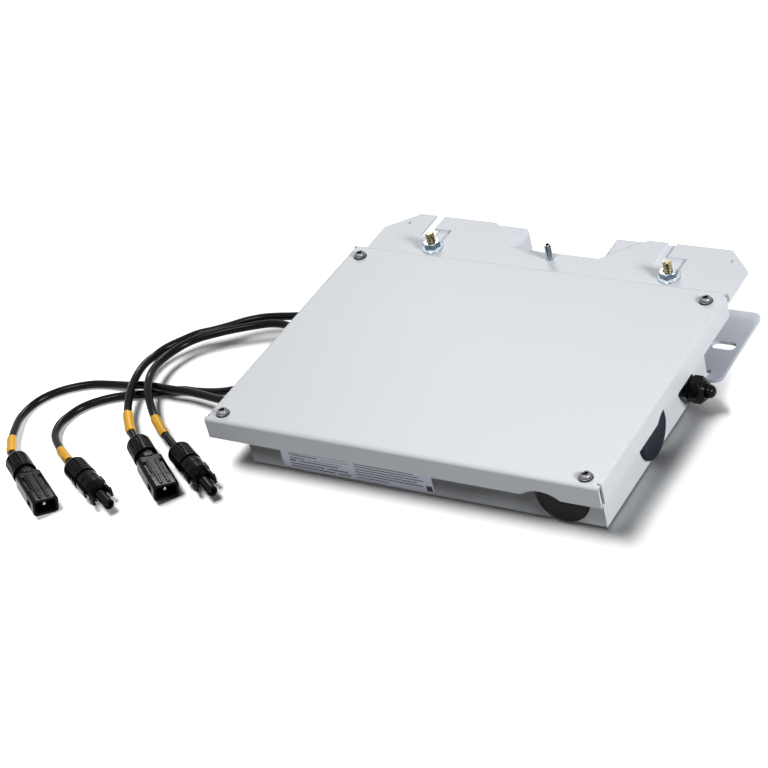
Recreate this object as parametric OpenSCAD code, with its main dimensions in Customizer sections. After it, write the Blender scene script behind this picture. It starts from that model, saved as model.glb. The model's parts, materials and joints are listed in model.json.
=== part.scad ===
// Rapid shutdown box: a folded sheet case that hooks onto two bolts of a
// mounting bracket, with four leads that end in push-fit connectors.
// Case frame: x from the lid's middle, y from its front edge, z from the floor.
// The finished part is moved so that its origin lies below its middle.

/* [Lid] */
// Width of the lid, along its front edge
lid_w = 285; // [265:1:310]
// Depth of the lid, from front to back
lid_d = 205; // [195:1:225]
// Height of the lid's top face above the floor
case_h = 42; // [42:0.5:52]
// Thickness of the lid's sheet
lid_sheet = 1.5; // [1:0.1:2]
// Outer radius of the lid's folds
lid_bend = 2.5; // [2.2:0.1:4]
// Height of the lid's front and side lips
lip_h = 16; // [12:0.5:18]
// Height of the lid's back lip, which clears the hook plate
back_lip_h = 6; // [4:0.5:7]
// Distance from the lid's front and back edges to the ends of its side lips
side_lip_start = 4.8; // [4.2:0.1:8]
// Radius of the round notches that clear the plugs
notch_r = 20.7; // [19:0.1:24]
// Depth of those notches above the lip's lower edge
notch_rise = 4.8; // [2:0.1:7]
// Offset of the front notch from its plug, to the left
notch_shift_front = 9; // [4:0.5:12]
// Offset of the side notch from its plug, to the back
notch_shift_side = 14.5; // [8:0.5:18]

/* [Tray] */
// Thickness of the tray's sheet
tray_sheet = 1.2; // [1:0.1:1.5]
// Outer radius of the folds along the tray's bottom
tray_bend = 2.4; // [2:0.1:4]
// Distance from the lid's left edge to the tray's wall
overhang_left = 22; // [21:0.5:28]
// Distance from the lid's right edge to the tray's wall
overhang_right = 5; // [4.5:0.1:6]
// Distance from the lid's front edge to the tray's wall
overhang_front = 10.5; // [10.5:0.1:14]
// Distance from the lid's back edge to the tray's wall
overhang_back = 38.5; // [34:0.5:40]
// Thickness of the gasket between the tray's rim and the lid
gasket_h = 1; // [0.5:0.1:1.5]
// Width that the gasket reaches out over the rim
gasket_lap = 2.5; // [1.5:0.1:2.5]

/* [Lid screws] */
// Shank diameter of the lid screws
screw_d = 4; // [3:0.1:4]
// Diameter of their flanged heads
screw_head_d = 9.4; // [8:0.1:11]
// Height of their heads, flange included
screw_head_h = 3; // [2.5:0.1:4]
// Height of the flange on a head
screw_flange_h = 0.8; // [0.6:0.1:1.2]
// Diameter of the seal under a head
screw_seal_d = 10.4; // [9:0.1:12]
// Thickness of the seal under a head
screw_seal_h = 0.8; // [0.5:0.1:1.2]
// Length of a screw below its head
screw_len = 8; // [7:0.1:8.2]
// Outer diameter of the press nuts under the rim
press_nut_d = 6; // [5.6:0.1:6.2]
// Length of the press nuts
press_nut_h = 4; // [3:0.1:4]
// Distance of the screws from the lid's left and right edges
screw_side = 11; // [10:0.1:13]
// Distance of the front screws from the lid's front edge
screw_front = 7.2; // [6.6:0.1:7.4]
// Distance of the back screws from the lid's back edge
screw_back = 13; // [10:0.5:16]

/* [Hook plate] */
// Thickness of the hook plate
plate_sheet = 2; // [1.5:0.1:2.5]
// Outer radius of the hook plate's fold
plate_bend = 3; // [3:0.1:4]
// Gap between the tray's rim and the hook plate
plate_gap = 4.3; // [4.3:0.1:6]
// Distance that the hook plate stands out behind the lid
plate_reach = 57; // [50:0.5:65]
// Half the width of the flange riveted to the tray
flange_half = 92.5; // [86:0.5:100]
// Height of that flange
flange_h = 24; // [20:0.5:26]
// Distance from the tray's back wall to the front of the plate's wings
wing_front = 13.5; // [10:0.5:20]
// Cut corner at the plate's outer ends, along the back edge
corner_x = 19.5; // [12:0.5:24]
// Cut corner at the plate's outer ends, along the side edges
corner_y = 21.5; // [12:0.5:26]
// Half the width of the gap between the wings, at its bottom
gap_half = 33.3; // [30:0.1:36]
// Width that each slanted side of that gap takes
gap_slant = 25.7; // [20:0.1:28]
// Depth of that gap
gap_depth = 27.5; // [22:0.5:30]
// Diameter of the small holes in the wings
wing_hole_d = 3; // [2:0.1:4]
// Distance of these holes from the plate's outer ends
wing_hole_in = 15.9; // [12:0.1:20]
// Distance of these holes from the back edge
wing_hole_y = 12.5; // [10:0.5:16]

/* [Rail bolts and hook slots] */
// Thread diameter of the two bolts that the plate hooks onto
bolt_d = 6.35; // [5:0.05:6.5]
// Distance between the two bolts
bolt_pitch = 182; // [176:1:188]
// Distance of the bolts from the plate's back edge
bolt_back = 39; // [36:0.5:42]
// Gap round a bolt in its slot, both sides together
bolt_play = 0.65; // [0.4:0.05:1]
// Height of the bolts above the hook plate
bolt_stand = 13; // [11:0.5:18]
// Distance across the flats of the bolt heads
bolt_head_af = 10; // [9:0.1:12]
// Height of the bolt heads
bolt_head_h = 4; // [3:0.1:5]
// Distance across the flats of the flange nuts
nut_af = 11.1; // [10:0.1:12]
// Diameter of the nuts' flanges
nut_flange_d = 15.1; // [14:0.1:16]
// Height of the flange nuts
nut_h = 6; // [5:0.1:7]
// Distance from the back edge to the crosswise part of a hook slot
slot_entry = 16; // [14:0.5:18]
// Width of that crosswise part, from front to back
slot_cross = 9.5; // [8:0.5:11]
// Width of the entry of a hook slot
slot_entry_w = 6.5; // [6.5:0.1:8]
// Offset of the entry from the bolt, to the left
slot_offset = 14; // [13:0.5:16]

/* [Set screw] */
// Diameter of the set screw in the plate's middle
set_d = 5; // [4:0.1:6]
// Length of the set screw
set_len = 20; // [16:0.5:24]
// Height of its end above the hook plate
set_stand = 12; // [10:0.5:16]
// Distance of the set screw from the plate's back edge
set_back = 35; // [34:0.5:42]
// Distance across the flats of its nut
set_nut_af = 8; // [8:0.1:10]

/* [Mounting bracket] */
// Thickness of the mounting bracket's sheet
bracket_sheet = 2.5; // [2:0.1:3]
// Outer radius of the bracket's folds
bracket_bend = 4; // [3.5:0.1:5]
// Distance from the middle to the inner faces of the two platforms
platform_in = 33; // [28:0.5:38]
// Distance from the middle to the outer faces of the two platforms
platform_out = 101.5; // [99:0.5:106]
// Distance from the middle to the end of each foot
foot_half = 148; // [146.5:0.5:156]
// Distance from the plate's back edge to the back edge of the feet
foot_back = 24; // [20:0.5:28]
// Gap between the tray's back wall and the bracket
bracket_gap = 5; // [4:0.5:8]
// Distance that each foot reaches forward beside the tray
foot_reach = 4.5; // [0:0.5:6]
// Gap between the tray's side walls and the feet
foot_side_gap = 1; // [0.5:0.1:3]
// Corner radius of the feet
foot_corner = 6; // [3:0.5:10]
// Corner radius of the platforms
platform_corner = 2.5; // [1:0.5:4]
// Distance from a foot's end to the middle of its slot
foot_slot_in = 12; // [10.5:0.5:13]
// Distance of the foot slots from the plate's back edge
foot_slot_back = 63; // [58:0.5:66]
// Width of a foot slot
foot_slot_w = 8.5; // [6.5:0.1:9]
// Length of a foot slot
foot_slot_len = 17; // [12:0.5:18]

/* [Plugs] */
// Height of the plugs above the floor
entry_z = 20; // [19.5:0.1:22]
// Diameter of the plugs' caps
plug_cap_d = 36; // [34:0.1:36.2]
// Height that the caps stand out
plug_cap_h = 2.5; // [2:0.1:3.5]
// Edge radius of the caps
plug_round = 1.5; // [0.5:0.1:1.8]
// Diameter of the plugs' threaded shanks
plug_shank_d = 28; // [25:0.1:29]
// Wall of the hollow shanks
plug_wall = 2.5; // [2:0.1:4]
// Distance across the flats of the plugs' locknuts
plug_nut_af = 32; // [31:0.1:34]
// Thickness of these locknuts
plug_nut_h = 5; // [4:0.1:6]
// Distance of the front plug from the tray's right wall
plug_front_at = 27; // [25:0.5:40]
// Distance of the side plug from the tray's front wall
plug_side_at = 71.5; // [66:0.5:76]

/* [Side gland] */
// Distance of the side gland from the tray's front wall
side_gland_at = 122; // [119:0.5:126]
// Distance from the lower edge of the lid's lip down to the side gland's middle
side_gland_drop = 8.5; // [8.4:0.1:10]
// Distance across the flats of the side gland
side_gland_af = 16; // [15:0.1:16.2]
// Thread diameter of the side gland
side_gland_d = 12.5; // [12:0.1:13]
// Diameter of the pin that blanks the side gland
pin_d = 9; // [8:0.1:9.2]
// Distance that the pin stands out of the gland's nut
pin_stand = 6; // [5:0.1:9]

/* [Lead glands] */
// Height of the lead glands above the floor
lead_gland_z = 16; // [14:0.5:18]
// Distance across the flats of the lead glands
lead_gland_af = 15; // [14:0.1:16]
// Thread diameter of the lead glands
lead_gland_d = 11.5; // [10.5:0.1:12]
// Distances of the front pair of lead glands from the tray's front wall
lead_gland_front = [40.5, 60.5];
// Distances of the back pair from the tray's back wall
lead_gland_back = [15.5, 35.5];

/* [Leads and connectors] */
// Diameter of a lead
lead_d = 5.7; // [5:0.1:6.2]
// Wall of the coloured sleeve near the end of a lead
sleeve_wall = 0.6; // [0.4:0.1:1]
// Depth of a lead's end inside its connector's nut
lead_seat = 6; // [5:0.5:8]
// Diameter of a connector's nut
conn_nut_d = 17; // [16:0.1:17.2]
// Length of a connector's nut
conn_nut_len = 20; // [18:0.5:24]
// Number of grooves round a connector's nut
conn_grooves = 10; // [6:1:14]
// Length of a socket connector
socket_len = 63; // [58:0.5:68]
// Width of its housing
socket_w = 17.8; // [16:0.1:19]
// Height of its housing
socket_h = 12.5; // [11.5:0.1:14]
// Wall round its mouth
socket_wall = 2; // [1.5:0.1:2.5]
// Depth of its mouth
mouth_depth = 15; // [12:0.5:18]
// Length of a plug connector
tip_len = 57; // [54:0.5:62]
// Diameter of the plug connector's body
tip_body_d = 16; // [15:0.1:17]
// Diameter of its nose
nose_d = 7.5; // [7:0.1:8.5]
// Length of its nose
nose_len = 17; // [14:0.5:19]
// Turn of each connector about its own axis, as it lies on the floor
conn_roll = [12, 0, 12, 0];

/* [Inside] */
// Thickness of the circuit board
board_t = 1.6; // [1:0.1:2]
// Height of the spacers under the board
spacer_h = 8; // [6:0.5:10]
// Diameter of the spacers
spacer_d = 7; // [6:0.1:9]
// Diameter of the board screws
board_screw_d = 3; // [2.5:0.1:3.5]

/* [Hidden] */
$fn = 48;
eps = 0.01;
// Gap round a shank, a thread or a pin in its hole, on each side
fit = 0.15;
// Gap round a sheathed lead in a gland or a nut, on each side
lead_fit = 0.3;
// Gap between two pieces that lie side by side
part_gap = 0.3;

// Heights of the stacked sheets
rim_top = case_h - lid_sheet - gasket_h;
rim_low = rim_top - tray_sheet;
plate_top = rim_low - plate_gap;
plate_low = plate_top - plate_sheet;

// The tray's outer faces
tray_left = -lid_w / 2 + overhang_left;
tray_right = lid_w / 2 - overhang_right;
tray_front = overhang_front;
tray_back = lid_d - overhang_back;
tray_w = tray_right - tray_left;
tray_d = tray_back - tray_front;
tray_mid = [(tray_left + tray_right) / 2, (tray_front + tray_back) / 2];

// The rim and the hook plate stay this far from the lid's lips
rim_clear = lid_sheet + 0.5;
plate_back = lid_d + plate_reach;
plate_half = lid_w / 2 - rim_clear;
bracket_front = tray_back + bracket_gap;
bolt_y = plate_back - bolt_back;
bolt_hole = bolt_d + bolt_play;
wing_hole_x = plate_half - wing_hole_in;
foot_front = tray_back - foot_reach;
foot_slot_pitch = 2 * (foot_half - foot_slot_in);

screw_spots = [
    for (x = [-1, 1], y = [screw_front, lid_d - screw_back])
    [x * (lid_w / 2 - screw_side), y]
];
screw_seat = case_h + screw_seal_h;

// The side gland, outwards from the tray's wall
seal_h = 1;
hex_h = 5;
side_thread = 12;
side_nut_len = 10.2;
side_gland_len = seal_h + hex_h + part_gap + side_nut_len;
gland_locknut_h = 5;
side_gland_z = case_h - lip_h - side_gland_drop;
gland_tail = 8;

// The lead glands, outwards from the tray's wall
lead_hex_h = 4.5;
lead_thread = 12;
lead_nut_len = 12.2;
gland_y = concat(
    [for (at = lead_gland_front) tray_front + at],
    [for (at = lead_gland_back) tray_back - at]
);
gland_bore = lead_d + 2 * lead_fit;

// The whole object's extents, which set the origin
right_end = tray_right + side_gland_len + pin_stand;
mid_x = (right_end - foot_half) / 2;
mid_y = plate_back / 2;

// Connectors, along their axis from the rear of the nut
neck_end = 26;
neck_d = 13.6;
spigot_d = 12.4;
pin_contact_d = 3;
tube_contact_d = 4;
contact_back = 30;
contact_inset = 6;

// The board, between the locknuts on the left and on the right
board_gap_left = 20;
board_gap_right = 27;
board_gap_front = 20;
board_gap_back = 7;
board_left = tray_left + board_gap_left;
board_right = tray_right - board_gap_right;
board_front = tray_front + board_gap_front;
board_back = tray_back - board_gap_back;
board_z = tray_sheet + spacer_h;
board_top = board_z + board_t;
board_inset_x = 22;
board_inset_y = 6;
board_screw_reach = 5;
board_screw_head_h = 2.2;

// The relays and the power module on the board, from the tray's middle
relay_size = [30, 16, 20];
relay_x = -50;
relay_y = [-24, 8];
module_size = [58, 48, 18];
module_pitch = 8;
module_gap_w = 3;
module_gap_h = 6;

// The board's screws
board_spots = [
    for (x = [board_left + board_inset_x, board_right - board_inset_x])
    for (y = [board_front + board_inset_y, board_back - board_inset_y])
    [x, y]
];

// Middle lines of the leads in the finished part's frame, from the gland to
// the connector. The last four points of each are the two ends and the middle
// of its sleeve, and its end in the connector.
lead_out_x = tray_left - lead_thread - mid_x;
function lead_start(i) = [lead_out_x, gland_y[i] - mid_y, lead_gland_z];
lead_routes = [
    [
        [-148, -80, 16], [-162, -80, 14.5], [-179, -78, 12], [-195, -75, 10.5],
        [-210, -73, 9.5], [-224, -73, 9], [-236, -73, 9], [-248, -73, 8.5],
        [-262, -72, 5], [-278, -72, 3], [-292, -75, 3], [-304, -81, 3],
        [-314, -89, 3], [-321, -99, 3], [-324, -110, 3], [-322, -124, 4.5],
        [-316, -137, 6.5], [-309.3, -149, 8], [-303.6, -156.8, 8.7],
        [-297.5, -164.3, 9.27], [-285.3, -172.7, 8.89]
    ],
    [
        [-148, -60, 16], [-164, -61, 13], [-181, -64, 8.5], [-195, -64, 5],
        [-209, -64, 3], [-221, -65, 3], [-232, -69, 3], [-242, -74, 3],
        [-254, -79, 3], [-266, -84, 3], [-276, -91, 3], [-284, -100, 3],
        [-288, -111, 3], [-288, -123, 4], [-281, -137, 5.5], [-265, -151, 7.7],
        [-257.6, -156.3, 8.4], [-250.3, -160.8, 8.86], [-238.8, -167.3, 8.7]
    ],
    [
        [-148, 20, 16], [-163, 20, 15.5], [-177, 18, 14.5], [-188, 16, 14],
        [-199, 13, 13.5], [-210, 7, 13], [-219, 0, 12.5], [-229, -7, 12],
        [-239, -13, 11.5], [-247, -22, 11], [-254, -33, 11], [-257, -44, 11],
        [-257, -56, 12.5], [-254, -70, 13.5], [-249.5, -85, 12.3], [-244.3, -96, 10.8],
        [-238.8, -105.4, 9.7], [-231.6, -114.4, 9.5], [-224, -122.8, 9.39],
        [-208.4, -134.9, 8.89]
    ],
    [
        [-148, 0, 16], [-163, 3.5, 16], [-177, 6.5, 15.5], [-188, 6, 14.8],
        [-199, 2.3, 14], [-209, -2.5, 13.5], [-217.7, -7, 13], [-226, -12.5, 12.7],
        [-234, -18.5, 12.4], [-240.8, -26.5, 12], [-245.5, -38, 12], [-247, -49, 12.7],
        [-245.5, -60, 14], [-241.5, -71, 15.2], [-236.5, -81, 14.6], [-230, -90, 13],
        [-222.5, -98.5, 11], [-215.5, -105.3, 9.9], [-206.8, -112.5, 9.4],
        [-198, -119.2, 9.04], [-174.3, -134.5, 8.7]
    ]
];
function route(i) = concat([lead_start(i)], lead_routes[i]);
tube_sides = 10;

// Moves a piece from the case frame to the finished part's frame
module place() {
    translate([-mid_x, -mid_y, 0]) children();
}

// Stands a flat shape up, so that its x points out at the angle a, seen from
// above, and its y points up, and draws it out along that edge
module along_edge(a, length) {
    rotate([90, 0, a]) linear_extrude(length, center = true) children();
}

// Turns a piece drawn upwards so that it points out at the angle a
module outwards(a) {
    rotate([0, 90, a]) children();
}

module quarter_disc(r) {
    intersection() {
        circle(r);
        square(r);
    }
}

// Section of a right-angled fold in a sheet, inside the corner of two axes
module fold_section(sheet, bend) {
    difference() {
        quarter_disc(bend);
        circle(bend - sheet);
    }
}

// Section of a folded edge that hangs down from the origin
module lip_section(drop, sheet, bend) {
    translate([-bend, -bend]) fold_section(sheet, bend);
    translate([-sheet, -drop]) square([sheet, drop - bend]);
}

module round_rect(size, r) {
    translate([r, 0]) square([size[0] - 2 * r, size[1]]);
    translate([0, r]) square([size[0], size[1] - 2 * r]);
    for (x = [r, size[0] - r], y = [r, size[1] - r]) translate([x, y]) circle(r);
}

module stadium(length, width) {
    square([length - width, width], center = true);
    for (s = [-1, 1]) translate([s * (length - width) / 2, 0]) circle(width / 2);
}

// A hexagonal prism of the given distance across its flats
module hex_prism(af, h) {
    cylinder(d = af / cos(30), h = h, $fn = 6);
}

// A hexagon with its corners turned off at both ends
module hex_nut(af, h, bore) {
    turned = min(0.08 * af, 0.2 * h);
    face_r = 0.47 * af;
    full_r = 0.61 * af;
    difference() {
        intersection() {
            hex_prism(af, h);
            rotate_extrude() polygon([
                [0, 0], [face_r, 0], [full_r, turned],
                [full_r, h - turned], [face_r, h], [0, h]
            ]);
        }
        translate([0, 0, -1]) cylinder(d = bore, h = h + 2);
    }
}

// Case

// Section of the tray across its folds, with round lower corners
module tub_section(w, h, r) {
    translate([-w / 2, r]) square([w, h - r]);
    translate([-w / 2 + r, 0]) square([w - 2 * r, r]);
    for (s = [0, 1]) mirror([s, 0]) {
        translate([w / 2 - r, r]) mirror([0, 1]) quarter_disc(r);
    }
}

// The tray's outside, or its inside at the given inset
module tub(inset) {
    w = tray_w - 2 * inset;
    d = tray_d - 2 * inset;
    h = rim_top + inset;
    r = tray_bend - inset;
    translate([tray_mid[0], tray_mid[1], inset]) intersection() {
        along_edge(0, d) tub_section(w, h, r);
        along_edge(90, w) tub_section(d, h, r);
    }
}

module lead_gland_spots() {
    for (y = gland_y) translate([tray_left, y, lead_gland_z]) outwards(180) children();
}

module side_gland_spot() {
    translate([tray_right, tray_front + side_gland_at, side_gland_z]) {
        outwards(0) rotate(30) children();
    }
}

module front_plug_spot() {
    translate([tray_right - plug_front_at, tray_front, entry_z]) outwards(-90) children();
}

module side_plug_spot() {
    translate([tray_right, tray_front + plug_side_at, entry_z]) outwards(0) children();
}

module wall_hole(d) {
    translate([0, 0, -2 * tray_sheet]) cylinder(d = d, h = 4 * tray_sheet);
}

rivet_d = 4;
rivet_head_d = 8;
rivet_head_h = 1.5;
rivet_z = 20;
rivet_x = [-80, -20, 20, 80];
module rivet_spots() {
    for (x = rivet_x) translate([x, tray_back, rivet_z]) outwards(90) children();
}

module rim() {
    translate([-lid_w / 2 + rim_clear, rim_clear, rim_low]) {
        cube([lid_w - 2 * rim_clear, lid_d - 2 * rim_clear, tray_sheet]);
    }
}

module tray() {
    color("gainsboro") place() difference() {
        union() {
            tub(0);
            rim();
        }
        tub(tray_sheet);
        lead_gland_spots() wall_hole(lead_gland_d + 2 * fit);
        side_gland_spot() wall_hole(side_gland_d + 2 * fit);
        front_plug_spot() wall_hole(plug_shank_d + 2 * fit);
        side_plug_spot() wall_hole(plug_shank_d + 2 * fit);
        rivet_spots() wall_hole(rivet_d);
        for (p = screw_spots) translate([p[0], p[1], rim_low - 1]) {
            cylinder(d = screw_d + 2 * fit, h = tray_sheet + 2);
        }
    }
}

module lid_gasket() {
    color("dimgray") place() translate([tray_mid[0], tray_mid[1], rim_top]) difference() {
        linear_extrude(gasket_h) difference() {
            square([tray_w + 2 * gasket_lap, tray_d + 2 * gasket_lap], center = true);
            square([tray_w - 2 * tray_sheet, tray_d - 2 * tray_sheet], center = true);
        }
        for (p = screw_spots) translate([p[0] - tray_mid[0], p[1] - tray_mid[1], -1]) {
            cylinder(d = screw_d + 4 * part_gap, h = gasket_h + 2);
        }
    }
}

module lid_folds() {
    side_len = lid_d - 2 * side_lip_start;
    translate([0, 0, case_h]) along_edge(-90, lid_w) lip_section(lip_h, lid_sheet, lid_bend);
    translate([0, lid_d, case_h]) along_edge(90, lid_w) {
        lip_section(back_lip_h, lid_sheet, lid_bend);
    }
    for (a = [0, 180]) translate([0, lid_d / 2, case_h]) rotate([0, 0, a]) {
        translate([lid_w / 2, 0, 0]) along_edge(0, side_len) {
            lip_section(lip_h, lid_sheet, lid_bend);
        }
    }
}

// Centre height of the notches' circles
notch_z = case_h - lip_h + notch_rise - notch_r;

module lid() {
    flat_w = lid_w - 2 * lid_bend;
    flat_d = lid_d - 2 * lid_bend;
    color("lightgray") place() difference() {
        union() {
            translate([-flat_w / 2, lid_bend, case_h - lid_sheet]) cube([flat_w, flat_d, lid_sheet]);
            lid_folds();
        }
        translate([tray_right - plug_front_at - notch_shift_front, lid_bend, notch_z]) {
            outwards(-90) cylinder(r = notch_r, h = 2 * lid_bend);
        }
        translate([lid_w / 2 - lid_bend, tray_front + plug_side_at + notch_shift_side, notch_z]) {
            outwards(0) cylinder(r = notch_r, h = 2 * lid_bend);
        }
        for (p = screw_spots) translate([p[0], p[1], case_h - lid_sheet - 1]) {
            cylinder(d = screw_d + 2 * fit, h = lid_sheet + 2);
        }
    }
}

module lid_screws() {
    socket = 2.5;
    socket_depth = 1.8;
    dome = screw_head_h - screw_flange_h;
    dome_low_d = screw_head_d - 1.6;
    dome_top_d = screw_head_d - 4;
    color("dimgray") place() for (p = screw_spots) translate([p[0], p[1], screw_seat]) {
        difference() {
            union() {
                translate([0, 0, -screw_len]) cylinder(d = screw_d, h = screw_len + eps);
                cylinder(d = screw_head_d, h = screw_flange_h);
                translate([0, 0, screw_flange_h]) {
                    cylinder(d1 = dome_low_d, d2 = dome_top_d, h = dome);
                }
            }
            translate([0, 0, screw_head_h - socket_depth]) hex_prism(socket, socket_depth + 1);
        }
    }
}

module lid_screw_seals() {
    color("black") place() for (p = screw_spots) translate([p[0], p[1], case_h]) {
        difference() {
            cylinder(d = screw_seal_d, h = screw_seal_h);
            translate([0, 0, -1]) cylinder(d = screw_d + 2 * fit, h = screw_seal_h + 2);
        }
    }
}

module press_nuts() {
    color("silver") place() for (p = screw_spots) {
        translate([p[0], p[1], rim_low - press_nut_h]) difference() {
            cylinder(d = press_nut_d, h = press_nut_h);
            translate([0, 0, -1]) cylinder(d = screw_d + 2 * fit, h = press_nut_h + 2);
        }
    }
}

// Mounting

// Outline of one hook slot about its bolt, with the entry on the left
module hook_slot() {
    reach = bolt_back - slot_entry;
    leg = reach - slot_cross / 2;
    circle(bolt_hole / 2);
    translate([-bolt_hole / 2, 0]) square([bolt_hole, leg]);
    translate([-slot_offset - slot_entry_w / 2, reach - slot_cross]) {
        square([slot_offset + (slot_entry_w + bolt_hole) / 2, slot_cross]);
    }
    translate([-slot_offset - slot_entry_w / 2, leg]) square([slot_entry_w, bolt_back - leg + 1]);
}

module hook_outline() {
    wing_y = tray_back + wing_front;
    gap_out = gap_half + gap_slant;
    polygon([
        [-flange_half, tray_back + plate_bend],
        [flange_half, tray_back + plate_bend],
        [flange_half, wing_y],
        [plate_half, wing_y],
        [plate_half, plate_back - corner_y],
        [plate_half - corner_x, plate_back],
        [gap_out, plate_back],
        [gap_half, plate_back - gap_depth],
        [-gap_half, plate_back - gap_depth],
        [-gap_out, plate_back],
        [corner_x - plate_half, plate_back],
        [-plate_half, plate_back - corner_y],
        [-plate_half, wing_y],
        [-flange_half, wing_y]
    ]);
}

module hook_plate() {
    color("lightgray") place() difference() {
        union() {
            translate([0, 0, plate_low]) linear_extrude(plate_sheet) difference() {
                hook_outline();
                for (s = [-1, 1]) {
                    translate([s * bolt_pitch / 2, bolt_y]) hook_slot();
                    translate([s * wing_hole_x, plate_back - wing_hole_y]) circle(d = wing_hole_d);
                }
                translate([0, plate_back - set_back]) circle(d = set_d + 2 * fit);
            }
            translate([0, tray_back, plate_top]) along_edge(-90, 2 * flange_half) {
                lip_section(flange_h, plate_sheet, plate_bend);
            }
        }
        rivet_spots() translate([0, 0, -1]) cylinder(d = rivet_d, h = plate_sheet + 2);
    }
}

module hook_plate_rivets() {
    inside = tray_sheet + rivet_head_h;
    color("silver") place() rivet_spots() {
        translate([0, 0, -inside]) cylinder(d = rivet_d, h = inside + plate_sheet + eps);
        translate([0, 0, -inside]) cylinder(d = rivet_head_d, h = rivet_head_h);
        translate([0, 0, plate_sheet]) {
            cylinder(d1 = rivet_head_d, d2 = 0.6 * rivet_head_d, h = rivet_head_h);
        }
    }
}

// Half of the bracket's hat-shaped section, from the middle to the foot's end
module hat_section() {
    sheet = bracket_sheet;
    bend = bracket_bend;
    web_end = platform_in + sheet - bend;
    foot_start = platform_out - sheet + bend;
    square([web_end, sheet]);
    translate([web_end, bend]) mirror([0, 1]) fold_section(sheet, bend);
    translate([platform_in, bend]) square([sheet, plate_low - 2 * bend]);
    translate([platform_in + bend, plate_low - bend]) mirror([1, 0]) fold_section(sheet, bend);
    translate([platform_in + bend, plate_low - sheet]) {
        square([platform_out - platform_in - 2 * bend, sheet]);
    }
    translate([platform_out - bend, plate_low - bend]) fold_section(sheet, bend);
    translate([platform_out - sheet, bend]) square([sheet, plate_low - 2 * bend]);
    translate([foot_start, bend]) rotate(180) fold_section(sheet, bend);
    translate([foot_start, 0]) square([foot_half - foot_start, sheet]);
}

module bracket_outline() {
    depth = plate_back - bracket_front;
    difference() {
        translate([-foot_half, foot_front]) {
            round_rect([2 * foot_half, plate_back - foot_back - foot_front], foot_corner);
        }
        translate([tray_left - foot_side_gap, foot_front - 1]) {
            square([tray_w + 2 * foot_side_gap, bracket_front - foot_front + 1]);
        }
    }
    for (s = [0, 1]) mirror([s, 0]) translate([platform_in, bracket_front]) {
        round_rect([platform_out - platform_in, depth], platform_corner);
    }
}

module mounting_bracket() {
    depth = plate_back - foot_front;
    color("darkgray") place() difference() {
        intersection() {
            translate([0, foot_front + depth / 2, 0]) along_edge(0, depth + 2) {
                hat_section();
                mirror([1, 0]) hat_section();
            }
            translate([0, 0, -1]) linear_extrude(plate_top) bracket_outline();
        }
        for (s = [-1, 1]) {
            translate([s * foot_slot_pitch / 2, plate_back - foot_slot_back, -1]) {
                linear_extrude(bracket_sheet + 2) stadium(foot_slot_len, foot_slot_w);
            }
            translate([s * bolt_pitch / 2, bolt_y, plate_low - bracket_sheet - 1]) {
                cylinder(d = bolt_hole, h = bracket_sheet + 2);
            }
        }
    }
}

module bolt_spots(z) {
    for (s = [-1, 1]) translate([s * bolt_pitch / 2, bolt_y, z]) children();
}

module rail_bolts() {
    point = 0.8;
    head_top = plate_low - bracket_sheet;
    shank = plate_top + bolt_stand - head_top;
    color("khaki") place() bolt_spots(head_top) {
        cylinder(d = bolt_d, h = shank - point);
        translate([0, 0, shank - point]) cylinder(d1 = bolt_d, d2 = bolt_d - 2 * point, h = point);
        translate([0, 0, -bolt_head_h]) hex_prism(bolt_head_af, bolt_head_h);
    }
}

module flange_nuts() {
    foot = 1.3;
    color("lightsteelblue") place() bolt_spots(plate_top) difference() {
        union() {
            cylinder(d = nut_flange_d, h = foot / 2);
            translate([0, 0, foot / 2]) {
                cylinder(d1 = nut_flange_d, d2 = nut_af, h = foot);
            }
            hex_nut(nut_af, nut_h, bolt_d);
        }
        translate([0, 0, -1]) cylinder(d = bolt_d + 2 * fit, h = nut_h + 2);
    }
}

module set_screw() {
    socket = 2.5;
    color("slategray") place() {
        translate([0, plate_back - set_back, plate_top + set_stand - set_len]) difference() {
            cylinder(d = set_d, h = set_len);
            translate([0, 0, set_len - 3]) hex_prism(socket, 4);
        }
    }
}

module set_screw_nut() {
    height = 4;
    color("silver") place() translate([0, plate_back - set_back, plate_low - height]) {
        hex_nut(set_nut_af, height, set_d + 2 * fit);
    }
}

// Cable entries

// A cap outside the wall with a hollow shank through it
module plug() {
    tail = tray_sheet + plug_nut_h + 1;
    cap_r = plug_cap_d / 2;
    difference() {
        rotate_extrude() {
            square([cap_r, plug_cap_h - plug_round]);
            square([cap_r - plug_round, plug_cap_h]);
            translate([cap_r - plug_round, plug_cap_h - plug_round]) quarter_disc(plug_round);
            translate([0, -tail]) square([plug_shank_d / 2, tail + eps]);
        }
        translate([0, 0, -tail - 1]) cylinder(d = plug_shank_d - 2 * plug_wall, h = tail + 1);
    }
}

module front_plug() {
    color("black") place() front_plug_spot() plug();
}

module side_plug() {
    color("darkslategray") place() side_plug_spot() plug();
}

module plug_nut() {
    translate([0, 0, -tray_sheet - plug_nut_h]) {
        rotate(30) hex_nut(plug_nut_af, plug_nut_h, plug_shank_d + 2 * fit);
    }
}

module plug_locknuts() {
    color("black") place() {
        front_plug_spot() plug_nut();
        side_plug_spot() plug_nut();
    }
}

module side_gland_seal() {
    color("dimgray") place() side_gland_spot() difference() {
        cylinder(d = side_gland_af, h = seal_h);
        translate([0, 0, -1]) cylinder(d = side_gland_d + 2 * fit, h = seal_h + 2);
    }
}

module side_gland_body() {
    color("black") place() side_gland_spot() difference() {
        union() {
            translate([0, 0, -gland_tail]) {
                cylinder(d = side_gland_d, h = gland_tail + side_thread);
            }
            translate([0, 0, seal_h]) hex_nut(side_gland_af, hex_h, side_gland_d - 1);
        }
        translate([0, 0, -gland_tail - 1]) {
            cylinder(d = pin_d + 2 * fit, h = gland_tail + side_thread + 2);
        }
    }
}

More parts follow.
